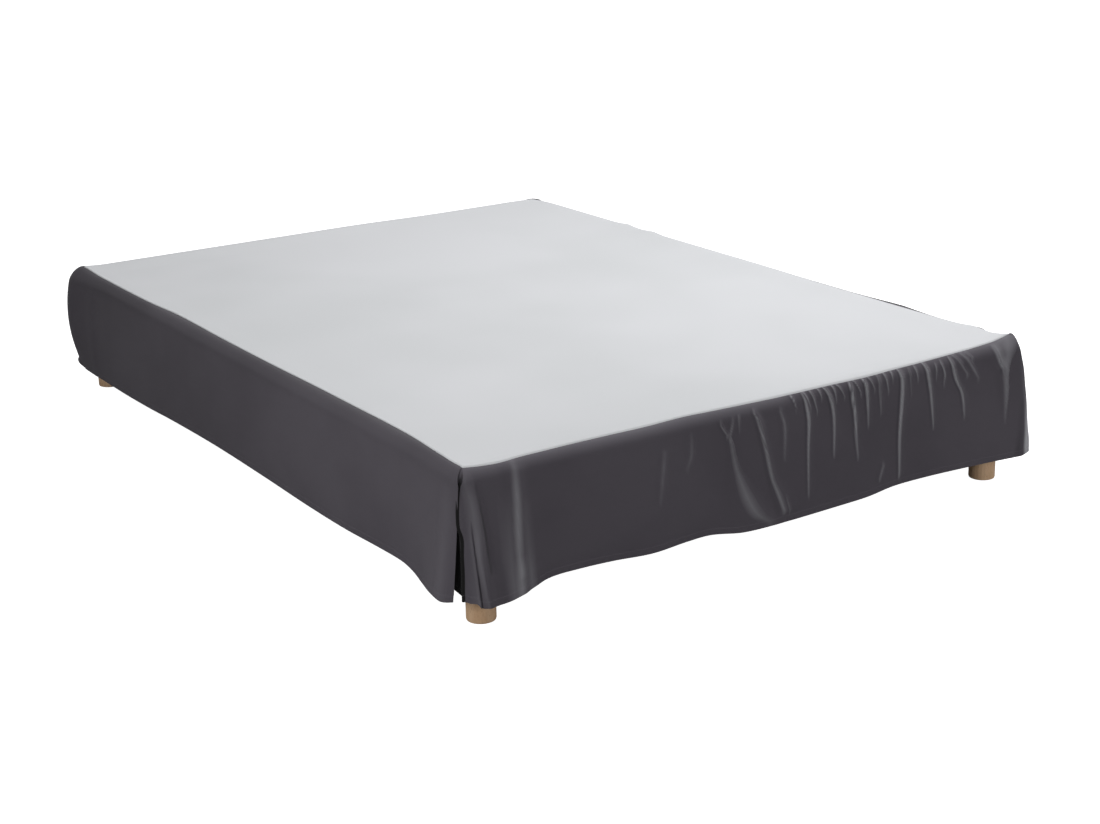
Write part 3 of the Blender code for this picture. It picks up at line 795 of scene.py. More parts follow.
FOOT_CREASES = (
    # the nose beside the left slit
    Crease(
        (
            (-0.679, 0.298, 0.001), (-0.674, 0.272, 0.0025), (-0.669, 0.251, 0.0035),
            (-0.666, 0.200, 0.004), (-0.668, 0.155, 0.0026), (-0.671, 0.100, 0.0022),
            (-0.673, 0.055, 0.0022),
        ),
        0.032, 0.010, rub=0.45,
    ),
    Crease(((-0.664, 0.272, -0.001), (-0.654, 0.200, -0.0025), (-0.650, 0.120, -0.002)), 0.010, 0.014),
    # the tuck with its groove
    Crease(
        (
            (-0.682, 0.203, -0.001), (-0.681, 0.173, -0.0025), (-0.680, 0.140, -0.003),
            (-0.679, 0.100, -0.003), (-0.679, 0.050, -0.003),
        ),
        0.0035, 0.0030, rub=1.3,
    ),
    Crease(
        (
            (-0.671, 0.190, 0.001), (-0.672, 0.142, 0.004), (-0.668, 0.091, 0.005), (-0.665, 0.050, 0.005),
        ),
        0.010, 0.026, rub=0.26,
    ),
    # soft painted highlight on both sides of the fold at the left end of the gathers
    Crease(
        ((-0.588, 0.250, 0.0001), (-0.590, 0.140, 0.001), (-0.590, 0.050, 0.001)), 0.045, 0.040, rub=1.4
    ),
    Crease(
        ((-0.551, 0.225, 0.0001), (-0.549, 0.130, 0.001), (-0.548, 0.052, 0.002)), 0.032, 0.030, rub=0.85
    ),
    # that fold, with a patch of painted highlight below it
    Crease(
        (
            (-0.577, 0.306, 0.001), (-0.577, 0.280, 0.004), (-0.577, 0.231, 0.007),
            (-0.580, 0.148, 0.008), (-0.580, 0.092, 0.003),
        ),
        0.018, 0.028, rub=0.74,
    ),
    Crease(
        ((-0.574, 0.115, 0.001), (-0.575, 0.085, 0.004), (-0.577, 0.056, 0.004)), 0.030, 0.036, rub=0.95
    ),
    # two faint folds on the smooth part
    Crease(((-0.244, 0.247, 0.002), (-0.248, 0.216, 0.003), (-0.255, 0.155, 0.001)), 0.010, 0.014, rub=0.5),
    Crease(((-0.179, 0.269, 0.001), (-0.180, 0.233, 0.0025), (-0.189, 0.207, 0.001)), 0.010, 0.012, rub=0.5),
    # the forked fold that runs to the hem, where it widens, with a band of painted highlight
    Crease(((-0.110, 0.279, 0.002), (-0.102, 0.266, 0.004), (-0.095, 0.256, 0.003)), 0.005, 0.008),
    Crease(((-0.079, 0.280, 0.001), (-0.083, 0.264, 0.002), (-0.087, 0.250, 0.001)), 0.007, 0.010, rub=1.4),
    Crease(
        (
            (-0.091, 0.252, 0.003), (-0.085, 0.238, 0.006), (-0.079, 0.209, 0.006), (-0.067, 0.174, 0.006),
            (-0.036, 0.113, 0.007), (-0.010, 0.076, 0.006), (0.020, 0.056, 0.002),
        ),
        0.030, 0.026, widths=(0.24, 0.28, 0.32, 0.55, 1.20, 1.30, 1.20), rub=0.56, shade=0.08,
    ),
    Crease(((-0.066, 0.281, 0.0025), (-0.064, 0.259, 0.001)), 0.004, 0.007),
    Crease(
        (
            (-0.028, 0.287, 0.003), (-0.018, 0.270, 0.006), (0.000, 0.207, 0.006),
            (0.015, 0.144, 0.006), (0.031, 0.109, 0.005), (0.046, 0.073, 0.003),
        ),
        0.006, 0.022, widths=(0.8, 1.0, 1.0, 1.1, 1.7, 2.0), rub=1.15,
    ),
    Crease(((0.050, 0.095, 0.001), (0.057, 0.070, 0.002)), 0.005, 0.008),
    # the gathers of the right half, from left to right
    Crease(((0.041, 0.277, 0.002), (0.051, 0.246, 0.003), (0.051, 0.181, 0.001)), 0.008, 0.012),
    short_gather((0.070, 0.304, 0.003), (0.080, 0.277, 0.001)),
    gather(
        (0.098, 0.300, 0.004), (0.107, 0.264, 0.007), (0.111, 0.240, 0.0055), (0.110, 0.186, 0.0035),
        (0.109, 0.092, 0.0012),
    ),
    short_gather((0.102, 0.302, 0.0025), (0.116, 0.272, 0.001)),
    short_gather((0.120, 0.302, 0.003), (0.135, 0.260, 0.001), after=0.007),
    short_gather((0.141, 0.304, 0.003), (0.146, 0.285, 0.001)),
    gather(
        (0.155, 0.304, 0.004), (0.169, 0.273, 0.007), (0.178, 0.231, 0.0045), (0.179, 0.161, 0.0014),
        after=0.018,
    ),
    short_gather((0.178, 0.304, 0.003), (0.185, 0.274, 0.001)),
    short_gather((0.191, 0.304, 0.003), (0.207, 0.277, 0.001)),
    gather(
        (0.220, 0.304, 0.004), (0.225, 0.274, 0.007), (0.234, 0.231, 0.0055), (0.238, 0.186, 0.0035),
        (0.244, 0.141, 0.0012),
    ),
    short_gather((0.236, 0.304, 0.0025), (0.251, 0.275, 0.001)),
    gather(
        (0.258, 0.304, 0.004), (0.263, 0.282, 0.007), (0.268, 0.248, 0.0045), (0.272, 0.205, 0.0014),
        before=0.0044, after=0.016,
    ),
    short_gather((0.275, 0.304, 0.0025), (0.288, 0.277, 0.001)),
    Crease(((0.298, 0.304, 0.003), (0.301, 0.271, 0.004), (0.306, 0.226, 0.002)), 0.0044, 0.012),
    short_gather((0.317, 0.304, 0.003), (0.326, 0.266, 0.001), after=0.007),
    short_gather((0.337, 0.304, 0.0025), (0.338, 0.288, 0.001)),
    gather(
        (0.356, 0.304, 0.004), (0.361, 0.278, 0.007), (0.361, 0.240, 0.0065), (0.358, 0.163, 0.005),
        (0.363, 0.075, 0.0025), after=0.024,
    ),
    Crease(((0.384, 0.296, 0.002), (0.390, 0.249, 0.001)), 0.0038, 0.007),
    short_gather((0.402, 0.300, 0.0025), (0.408, 0.276, 0.001)),
    gather(
        (0.426, 0.306, 0.004), (0.433, 0.282, 0.007), (0.445, 0.228, 0.0045), (0.455, 0.164, 0.0014),
        after=0.018,
    ),
    short_gather((0.459, 0.292, 0.002), (0.460, 0.271, 0.001)),
    short_gather((0.475, 0.296, 0.0025), (0.483, 0.272, 0.003), (0.482, 0.253, 0.001), after=0.007),
    gather(
        (0.500, 0.300, 0.004), (0.513, 0.257, 0.007), (0.533, 0.220, 0.0045), (0.542, 0.172, 0.0014),
    ),
    Crease(((0.516, 0.306, 0.002), (0.549, 0.261, 0.002)), 0.007, 0.009, rub=1.2),
    Crease(((0.540, 0.306, 0.002), (0.565, 0.272, 0.003), (0.582, 0.247, 0.001)), 0.009, 0.010, rub=1.2),
    Crease(((0.552, 0.306, 0.002), (0.563, 0.292, 0.002)), 0.006, 0.007),
    Crease(((0.317, 0.105, 0.002), (0.308, 0.081, 0.002)), 0.008, 0.010),
    # the V near the right corner: a facet with a painted highlight between two borders, over a stem
    Crease(
        ((0.629, 0.300, 0.002), (0.636, 0.283, 0.004), (0.644, 0.266, 0.005), (0.654, 0.250, 0.003)),
        0.005, 0.012, shade=0.2,
    ),
    Crease(
        ((0.646, 0.300, 0.001), (0.651, 0.284, 0.0015), (0.658, 0.266, 0.001)),
        0.030, 0.020, rub=2.0, shade=0.0,
    ),
    Crease(
        (
            (0.692, 0.306, 0.003), (0.684, 0.292, 0.0055), (0.670, 0.269, 0.007), (0.664, 0.246, 0.008),
            (0.665, 0.200, 0.007), (0.662, 0.140, 0.002),
        ),
        0.060, 0.014, widths=(1.0, 0.90, 0.52, 0.28, 0.22, 0.13), rub=0.62, shade=0.1,
    ),
    # the flare at the right end, with a strong painted highlight
    Crease(
        ((0.729, 0.170, 0.001), (0.729, 0.105, 0.003), (0.728, 0.058, 0.006)),
        0.018, 0.008, widths=(0.6, 0.8, 1.0), rub=2.8, shade=0.1,
    ),
)

LEFT_SECTIONS = (
    Section(-0.9430, 0.0190, 0.004, 0.009, 0.016, 0.061),
    Section(-0.9350, 0.0190, 0.004, 0.012, 0.025, 0.060),
    Section(-0.9200, 0.0200, 0.004, 0.014, 0.030, 0.0582),
    Section(-0.8950, 0.0202, 0.004, 0.013, 0.027, 0.0577),
    Section(-0.8600, 0.0223, 0.004, 0.010, 0.020, 0.0548),
    Section(-0.8200, 0.0248, 0.002, 0.006, 0.010, 0.0546),
    Section(-0.7750, 0.0283, 0.000, 0.003, 0.003, 0.0614),
    Section(-0.7300, 0.0316, 0.000, 0.001, 0.001, 0.0666),
    Section(-0.6400, 0.0336, 0.000, 0.001, 0.001, 0.0652),
    Section(-0.5000, 0.0330, 0.000, 0.003, 0.001, 0.0595),
    Section(-0.3400, 0.0326, 0.000, 0.003, 0.001, 0.0588),
    Section(-0.1300, 0.0297, 0.000, 0.004, 0.001, 0.0625),
    Section(0.1200, 0.0298, 0.000, 0.005, 0.001, 0.0643),
    Section(0.3600, 0.0325, 0.000, 0.005, 0.001, 0.0594),
    Section(0.5000, 0.0250, 0.000, 0.005, 0.001, 0.0538),
    Section(0.6500, 0.0235, 0.000, 0.006, 0.002, 0.0515),
    Section(0.8000, 0.0240, 0.001, 0.009, 0.003, 0.0525),
    Section(0.8500, 0.0245, 0.005, 0.014, 0.004, 0.053),
    Section(0.8800, 0.0245, 0.009, 0.019, 0.005, 0.054),
    Section(0.9060, 0.0230, 0.014, 0.024, 0.006, 0.056),
    Section(0.9260, 0.0205, 0.019, 0.029, 0.007, 0.063),
    Section(SIDE_END, 0.0195, 0.022, 0.032, 0.008, 0.071),
)

LEFT_LEANS = ((-0.943, -0.953), (-0.892, -0.897), (0.830, 0.815), (SIDE_END, SIDE_END))

LEFT_CREASES = (
    Crease(((-0.897, 0.270, 0.001), (-0.895, 0.180, 0.002), (-0.892, 0.065, 0.003)), 0.050, 0.050, rub=0.2),
    Crease(((0.815, 0.280, 0.001), (0.822, 0.180, 0.002), (0.830, 0.060, 0.001)), 0.060, 0.060, rub=0.0),
    # where the hem kicks out at the head corner
    Crease(((0.944, 0.082, 0.002), (0.944, 0.073, 0.010), (0.944, 0.055, 0.011)), 0.034, 0.034, rub=0.0),
)

RIGHT_SECTIONS = (
    Section(-0.9430, 0.0100, 0.004, 0.016, 0.030, 0.060),
    Section(-0.9150, 0.0130, 0.004, 0.015, 0.030, 0.059),
    Section(-0.8800, 0.0160, 0.004, 0.012, 0.024, 0.059),
    Section(-0.8300, 0.0190, 0.003, 0.007, 0.012, 0.061),
    Section(-0.7700, 0.0220, 0.000, 0.003, 0.003, 0.066),
    Section(-0.6800, 0.0250, 0.000, 0.002, 0.001, 0.068),
    Section(-0.4800, 0.0260, 0.000, 0.004, 0.001, 0.065),
    Section(-0.2800, 0.0240, 0.000, 0.003, 0.001, 0.066),
    Section(-0.0400, 0.0150, 0.000, 0.004, 0.002, 0.058),
    Section(0.2200, 0.0140, 0.000, 0.005, 0.003, 0.057),
    Section(0.4800, 0.0160, 0.000, 0.005, 0.001, 0.058),
    Section(0.7400, 0.0170, 0.000, 0.008, 0.002, 0.055),
    Section(0.8750, 0.0190, 0.002, 0.010, 0.003, 0.054),
    Section(0.9020, 0.0190, 0.011, 0.021, 0.008, 0.056),
    Section(0.9260, 0.0190, 0.021, 0.032, 0.015, 0.058),
    Section(SIDE_END, 0.0190, 0.023, 0.034, 0.017, 0.059),
)

RIGHT_LEANS = ((-0.943, -0.953), (-0.884, -0.890), (0.120, 0.110), (SIDE_END, SIDE_END))

RIGHT_CREASES = (
    Crease(((-0.890, 0.270, 0.001), (-0.887, 0.180, 0.004), (-0.884, 0.065, 0.003)), 0.036, 0.040, rub=0.6),
    Crease(((0.110, 0.300, 0.001), (0.115, 0.180, 0.004), (0.120, 0.062, 0.001)), 0.040, 0.046, rub=0.35),
    # where it rolls up past the platform sheet
    Crease(
        ((-0.610, 0.320, 0.0033), (-0.610, 0.300, 0.0016), (-0.610, 0.285, 0.001)), 0.120, 0.200, rub=0.0
    ),
    Crease(((-0.852, 0.320, 0.0025), (-0.852, 0.300, 0.0015)), 0.030, 0.030, rub=0.0),
)

HEAD_SECTIONS = (
    Section(-HEAD_END, 0.0195, 0.022, 0.032, 0.008, 0.071),
    Section(-0.6760, 0.0192, 0.020, 0.030, 0.008, 0.063),
    Section(-0.6520, 0.0186, 0.011, 0.020, 0.007, 0.057),
    Section(-0.6250, 0.0180, 0.002, 0.010, 0.003, 0.056),
    Section(-0.4200, 0.0160, 0.000, 0.004, 0.001, 0.058),
    Section(-0.1500, 0.0150, 0.000, 0.005, 0.002, 0.057),
    Section(0.1500, 0.0160, 0.000, 0.004, 0.001, 0.059),
    Section(0.4200, 0.0150, 0.000, 0.005, 0.001, 0.058),
    Section(0.6250, 0.0180, 0.002, 0.010, 0.003, 0.056),
    Section(0.6520, 0.0184, 0.011, 0.021, 0.008, 0.057),
    Section(0.6760, 0.0188, 0.021, 0.032, 0.015, 0.058),
    Section(HEAD_END, 0.0190, 0.023, 0.034, 0.017, 0.059),
)

HEAD_LEANS = (
    (-HEAD_END, -HEAD_END), (-0.345, -0.330), (0.070, 0.060), (0.360, 0.380), (HEAD_END, HEAD_END)
)

HEAD_CREASES = (
    Crease(((-0.330, 0.300, 0.002), (-0.338, 0.180, 0.005), (-0.345, 0.062, 0.002)), 0.022, 0.030, rub=0.5),
    Crease(((0.060, 0.300, 0.002), (0.066, 0.180, 0.006), (0.070, 0.060, 0.001)), 0.024, 0.030, rub=0.5),
    Crease(((0.380, 0.300, 0.002), (0.370, 0.180, 0.005), (0.360, 0.062, 0.002)), 0.026, 0.020, rub=0.5),
    # where the hem kicks out at the left corner
    Crease(((-0.694, 0.082, 0.002), (-0.694, 0.073, 0.010), (-0.694, 0.055, 0.011)), 0.034, 0.034, rub=0.0),
)


# ---------------------------------------------------------------- sheets
@dataclass
class Weave:
    """A sheet's grid, rows by columns: places, UVs in metres, and its painted light and shade.

    Its painted light runs from -1, painted shade in a pleat, to 1, a painted highlight on a crest, and 2 on
    the lightest edges.
    """

    points: np.ndarray
    uvs: np.ndarray
    painted_light: np.ndarray

    DARKEST = -1
    LIGHTEST = 2

    def beside(self, other: "Weave") -> "Weave":
        """This grid with another one's columns after its own."""
        pairs = ((self.points, other.points), (self.uvs, other.uvs), (self.painted_light, other.painted_light))
        return Weave(*(np.concatenate(pair, axis=1) for pair in pairs))

    def turned_round(self) -> "Weave":
        """This grid with its columns the other way round."""
        return Weave(self.points[:, ::-1], self.uvs[:, ::-1], self.painted_light[:, ::-1])


@dataclass
class Sheet:
    """A sheet of cloth: what it stands for, how it is held, its flat size and its thickness."""

    name: str
    node: str
    slot: Slot
    hold: Hold
    flat: tuple[float, float]
    thickness: float

    SHARP = math.radians(60)  # a fold sharper than this is shaded as an edge

    def build(self, weave: Weave) -> bpy.types.Object:
        """Makes the sheet's object.

        Args:
            weave: its grid of points.

        Returns:
            The object, with its thickness and smooth shading.
        """
        rows, columns = weave.points.shape[:2]
        mesh = bmesh.new()
        bmesh.ops.create_grid(mesh, x_segments=columns - 1, y_segments=rows - 1, size=1.0)
        mesh.verts.ensure_lookup_table()
        for vertex, place in zip(mesh.verts, weave.points.reshape(-1, 3)):
            vertex.co = place
        flat_uvs = weave.uvs.reshape(-1, 2)
        layer = mesh.loops.layers.uv.new("cloth")
        for face in mesh.faces:
            for loop in face.loops:
                loop[layer].uv = flat_uvs[loop.vert.index]
        # painted highlight and painted shade, kept on the points for the cloth's colour
        for name, way in (("highlight_paint", 1), ("shade_paint", -1)):
            mark = mesh.verts.layers.float.new(name)
            for vertex, value in zip(mesh.verts, np.clip(way * weave.painted_light, 0, weave.LIGHTEST).ravel()):
                vertex[mark] = value
        self.face_outwards(mesh)
        data = bpy.data.meshes.new(self.name)
        mesh.to_mesh(data)
        mesh.free()
        piece = bpy.data.objects.new(self.name, data)
        bpy.context.scene.collection.objects.link(piece)
        self.thicken(piece)
        return piece

    def face_outwards(self, mesh: bmesh.types.BMesh) -> None:
        """Turns all faces so that they look away from the middle of the bed, or up.

        Args:
            mesh: the sheet's mesh.
        """
        mesh.normal_update()
        inside = Vector((0, 0, -COVER.rim_height))
        away = sum((face.calc_center_median() - inside).dot(face.normal) for face in mesh.faces)
        if away < 0:
            bmesh.ops.reverse_faces(mesh, faces=mesh.faces)

    def thicken(self, piece: bpy.types.Object) -> None:
        """Gives the sheet its thickness, inwards from the outer face.

        Args:
            piece: the sheet's object.
        """
        solid = piece.modifiers.new("cloth_thickness", "SOLIDIFY")
        solid.thickness = self.thickness
        solid.offset = -1.0
        graph = bpy.context.evaluated_depsgraph_get()
        thick = bpy.data.meshes.new_from_object(piece.evaluated_get(graph))
        piece.modifiers.clear()
        thin, piece.data = piece.data, thick
        bpy.data.meshes.remove(thin)
        thick.name = self.name
        thick.shade_smooth()
        thick.set_sharp_from_angle(angle=self.SHARP)

    def dress(self, piece: bpy.types.Object, material: bpy.types.Material) -> None:
        """Gives the sheet its finish, attaches it to the body, hides the imported part it stands for and
        logs its faces.

        Args:
            piece: the sheet's object.
            material: its finish.
        """
        piece.data.materials.clear()
        piece.data.materials.append(material)
        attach(piece, BODY)
        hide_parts(self.node)
        LOG.info("%s: %d faces", piece.name, len(piece.data.polygons))


def skirt_sheet(name: str, node: str, hold: Hold, flat: tuple[float, float]) -> Sheet:
    """A drop's sheet."""
    return Sheet(name, node, Slot.SKIRT, hold, flat, COVER.cloth)


@dataclass
class DropCloth:
    """One drop of the skirt as fine cloth."""

    sheet: Sheet
    side: Side
    sections: tuple[Section, ...]
    creases: tuple[Crease, ...]
    leans: tuple[tuple[float, float], ...]  # hem places and the same columns' places under the edge
    first_tip: float  # the end columns at the seam
    last_tip: float
    column: float = 0.005  # width of a column of the grid
    fine: tuple[tuple[float, float, float], ...] = ()  # stretches with finer columns: from, to, width
    turned_back: bool = False  # whether its ends run back behind the side drops
    spreads: tuple[tuple[float, float], ...] = ((0.0, 0.0), (0.3, 0.0))  # level, spread of the last end
    first_spreads: tuple[tuple[float, float], ...] = ((0.0, 0.0), (0.3, 0.0))  # the same of the first end
    rubbed_seam: tuple[tuple[float, float], ...] = ((0.0, 0.0), (1.0, 0.0))  # place, and its painted highlight under the seam, painted shade where below 0
    rubbed_reach: float = 0.032  # width of that band under the seam
    round_end: float = 0.0  # how far the hem rises at the last end
    rubbed_end: float = 0.0  # painted highlight on the last end's edge

    SPREAD_REACH = 0.070  # lengths beside an end in which it spreads, rises and gets its painted highlight
    ROUND_END_REACH = 0.016
    ROUND_END_POWER = 4  # how close to the hem the rise stays on the turned-back cloth
    END_HIGHLIGHT_REACH = 0.007
    SEAM_PAINT_POWER = 1.5  # how close to the seam the band of painted light stays
    BEND_COLUMNS = 6  # of the turned-back cloth, round the bend and behind it
    BACK_COLUMNS = 16
    BACK_POWER = 1.5  # how crowded those columns are beside the bend
    SHOULDER_ROWS = 9  # over the rolled edge, and from there to the hem's rows
    HANGING_ROWS = 42
    # heights of the hem's rows above its edge
    HEM_ROWS = (0.0185, 0.0150, 0.0135, 0.0125, 0.0115, 0.0100, 0.0060, 0.0020, 0.0)
    HEM_FOLD = 0.0125  # height of the hem's turned-up band
    HEM_THICKNESS = 0.0005
    HEM_FOLD_EDGE = (0.0012, -0.0006)  # from single to double cloth, above and below that height
    SEAM_FADE = 0.005  # creases die away over this length at the seam
    SEAM_DIP = 0.0008  # the seam's groove
    SEAM_DIP_REACH = 0.0045
    LEAST_OUT = -0.001  # how far a trough may go inside the outer face
    TURN_BACK_BEND = 0.005  # radius of the cloth where it turns the corner
    TURN_BACK_END = 0.064  # how far it reaches behind the side drop
    TURN_BACK_LEAST = 0.2  # share of both that is left at the seam
    TURN_BACK_HEM_RISE = 0.010  # how much higher its hem is at the far end
    TURN_BACK_CLEAR = 0.0025  # how far its top stays under the side drop
    TURN_BACK_DIVE = 0.09  # share of its run in which it goes behind the side drop
    TURN_BACK_SHADE = (-0.02, 0.12)  # shares of its run over which its painted shade grows from none to full

    def __post_init__(self) -> None:
        """Works out which column leaves the seam where."""
        first, last = self.sections[0].at, self.sections[-1].at
        low, high = first + COVER.tip_reach, last - COVER.tip_reach
        inside = [(at, float(straight_through(self.leans, at))) for at in (low, high)]
        kept = [pair for pair in self.leans if low < pair[0] < high]
        self.seams = [(first, self.first_tip), *inside, *kept, (last, self.last_tip)]

    def value(self, name: str, at: np.ndarray) -> np.ndarray:
        """A section's value anywhere along the side."""
        places = [row.at for row in self.sections]
        return smooth_through(places, [getattr(row, name) for row in self.sections], at)

    def columns(self) -> np.ndarray:
        """Sets out the grid's columns, closer together where the cloth is finely creased.

        Returns:
            The places, from one end of the hem to the other.
        """
        first, last = self.sections[0].at, self.sections[-1].at
        places = [first]
        while places[-1] < last:
            widths = [width for low, high, width in self.fine if low <= places[-1] < high]
            places.append(places[-1] + min(widths, default=self.column))
        return np.array([*places[:-1], last])

    def rows(self, hem: np.ndarray, start: np.ndarray) -> np.ndarray:
        """The levels of the grid's rows.

        Args:
            hem: each column's hem height.
            start: each column's run past the start of the roll, at its seam.

        Returns:
            Rows by columns of levels.
        """
        seam = COVER.face_top + COVER.turn - start
        shares = np.linspace(0, 1, self.SHOULDER_ROWS + 1)[:-1, None]
        shoulder = seam + (COVER.face_top - seam) * shares
        shares = np.linspace(0, 1, self.HANGING_ROWS + 1)[:-1, None]
        hanging = COVER.face_top + (hem + self.HEM_ROWS[0] - COVER.face_top) * shares
        fold = hem + np.array(self.HEM_ROWS)[:, None]
        return np.vstack([shoulder, hanging, fold])

    def stand_off(self, at: np.ndarray, hang: np.ndarray) -> np.ndarray:
        """How far the hanging cloth is off the outer face, without its creases.

        Args:
            at: places along the side.
            hang: shares of the way from under the edge down to the hem.

        Returns:
            The distances, never inside the face.
        """
        top, middle, low = (self.value(name, at) for name in ("top_out", "mid_out", "hem_out"))
        curve = (
            top * (1 - hang) * (1 - 2 * hang) + middle * 4 * hang * (1 - hang) + low * hang * (2 * hang - 1)
        )
        return np.maximum(0, curve)

    def surface(self, at: np.ndarray) -> tuple[Weave, np.ndarray]:
        """The outer face.

        Args:
            at: the columns' places at the hem.

        Returns:
            Its grid, and rows by columns of levels.
        """
        seam_at = straight_through(self.seams, at)
        top_at = straight_through(self.leans, at)
        hem = self.value("hem_height", at)
        hem += self.round_end * np.clip((at - at[-1]) / self.ROUND_END_REACH + 1, 0, 1) ** 2
        level = self.rows(hem, COVER.reach_of(self.value("seam_in", seam_at)))
        below_seam = level[0] - level
        hang = np.clip((COVER.face_top - level) / (COVER.face_top - hem), 0, 1)
        rolled = np.clip(below_seam / (level[0] - COVER.face_top), 0, 1)
        place = seam_at + (top_at - seam_at) * rolled + (at - top_at) * hang
        for end, way, pairs in ((at[-1], 1, self.spreads), (at[0], -1, self.first_spreads)):
            spread = smooth_through(*zip(*pairs), level)
            place += way * spread * step(end - way * self.SPREAD_REACH, end, at)

        reach = COVER.turn + COVER.face_top - level
        inset, fall = COVER.over_edge(reach)
        turn = np.clip(reach, 0, COVER.turn) / COVER.shoulder
        lift = sum(crease.lift(place, level) for crease in self.creases)
        off = self.stand_off(at, hang) * rolled + lift * step(0.0, self.SEAM_FADE, below_seam)
        off = np.maximum(off, self.LEAST_OUT)
        from_hem = level - hem
        single, double = (self.HEM_FOLD + beyond for beyond in self.HEM_FOLD_EDGE)
        off += self.HEM_THICKNESS * step(single, double, from_hem)
        off -= self.SEAM_DIP * np.clip(1 - below_seam / self.SEAM_DIP_REACH, 0, 1) ** 2

        x, y = self.side.plan(place, off * np.sin(turn) - inset)
        z = COVER.rim_height - fall + off * np.cos(turn) + COVER.peak_height(x, y) * (1 - rolled)
        points = np.stack([x, y, z], axis=-1)
        uvs = np.stack([np.broadcast_to(at, level.shape), from_hem], axis=-1)
        # the painted highlight and painted shade of the creases, of the band under the seam and of the last
        # end's edge
        painted_light = sum(crease.painted_light(place, level) for crease in self.creases)
        rubbed = straight_through(self.rubbed_seam, place)
        painted_light += rubbed * np.clip(1 - below_seam / self.rubbed_reach, 0, 1) ** self.SEAM_PAINT_POWER
        painted_light += self.rubbed_end * step(at[-1] - self.END_HIGHLIGHT_REACH, at[-1], at) * hang
        return Weave(points, uvs, np.clip(painted_light, Weave.DARKEST, Weave.LIGHTEST)), level

    def turned(self, front: Weave, level: np.ndarray, way: int) -> Weave:
        """The cloth that turns the corner at one end and runs back behind the side drop.

        Args:
            front: the outer face.
            level: its levels.
            way: -1 at the low end and 1 at the high end.

        Returns:
            Its grid, from the end outwards.
        """
        end = 0 if way < 0 else -1
        edge, edge_uv, end_level = front.points[:, end], front.uvs[:, end], level[:, end, None]
        start_at, start_out = edge[:, 0:1], -edge[:, 1:2] - COVER.half_length
        bends = np.linspace(0, QUARTER_TURN, self.BEND_COLUMNS + 1)[1:]
        backs = np.linspace(0, 1, self.BACK_COLUMNS + 1)[1:] ** self.BACK_POWER
        opened = step(end_level[0], COVER.face_top, end_level)
        grown = self.TURN_BACK_LEAST + (1 - self.TURN_BACK_LEAST) * opened
        bend = self.TURN_BACK_BEND * grown
        at = start_at + way * bend * np.sin(bends)
        out = start_out - bend * (1 - np.cos(bends))
        inner = start_out - (self.TURN_BACK_END + start_out) * grown
        behind = COVER.half_width - COVER.over_edge(COVER.turn + COVER.face_top - end_level)[0]
        behind = behind - self.TURN_BACK_CLEAR * (1 - opened)
        back_at = at[:, -1:] + (way * behind - at[:, -1:]) * step(0.0, self.TURN_BACK_DIVE, backs)
        back_out = out[:, -1:] + (inner - out[:, -1:]) * backs
        x, y = self.side.flat_plan(np.hstack([at, back_at]), np.hstack([out, back_out]))
        shares = np.hstack([np.zeros(len(bends)), backs])
        hang = np.clip((COVER.face_top - end_level) / (COVER.face_top - end_level[-1]), 0, 1)
        sunk = COVER.peak_height(edge[:, 0:1], edge[:, 1:2]) - COVER.peak_height(x, y)
        z = edge[:, 2:3] + self.TURN_BACK_HEM_RISE * np.sqrt(shares) * hang - sunk * (1 - opened)
        rounding = np.hstack([1 - np.cos(bends), np.ones(len(backs))]) if way > 0 else 0.0
        z = z + self.round_end * rounding * hang**self.ROUND_END_POWER
        bent = self.TURN_BACK_BEND * QUARTER_TURN
        run = np.hstack([self.TURN_BACK_BEND * bends, bent + self.TURN_BACK_END * backs])
        u, v = edge_uv[:, 0:1] + way * run, np.broadcast_to(edge_uv[:, 1:2], z.shape)
        points, uvs = np.stack([x, y, z], axis=-1), np.stack([u, v], axis=-1)
        # painted shade on the cloth that turns back into shadow behind the side drop; at the high end the
        # bend keeps the painted light of the front's edge
        start = -opened if way < 0 else front.painted_light[:, end, None]
        shade = np.hstack([start * np.ones(len(bends)), -step(*self.TURN_BACK_SHADE, backs) * opened])
        return Weave(points, uvs, shade)

    def build(self, material: bpy.types.Material) -> bpy.types.Object:
        """Builds and dresses the drop.

        Args:
            material: its finish.

        Returns:
            The drop's object.
        """
        weave, level = self.surface(self.columns())
        if self.turned_back:
            low, high = self.turned(weave, level, -1), self.turned(weave, level, 1)
            weave = low.turned_round().beside(weave).beside(high)
        piece = self.sheet.build(weave)
        self.sheet.dress(piece, material)
        return piece


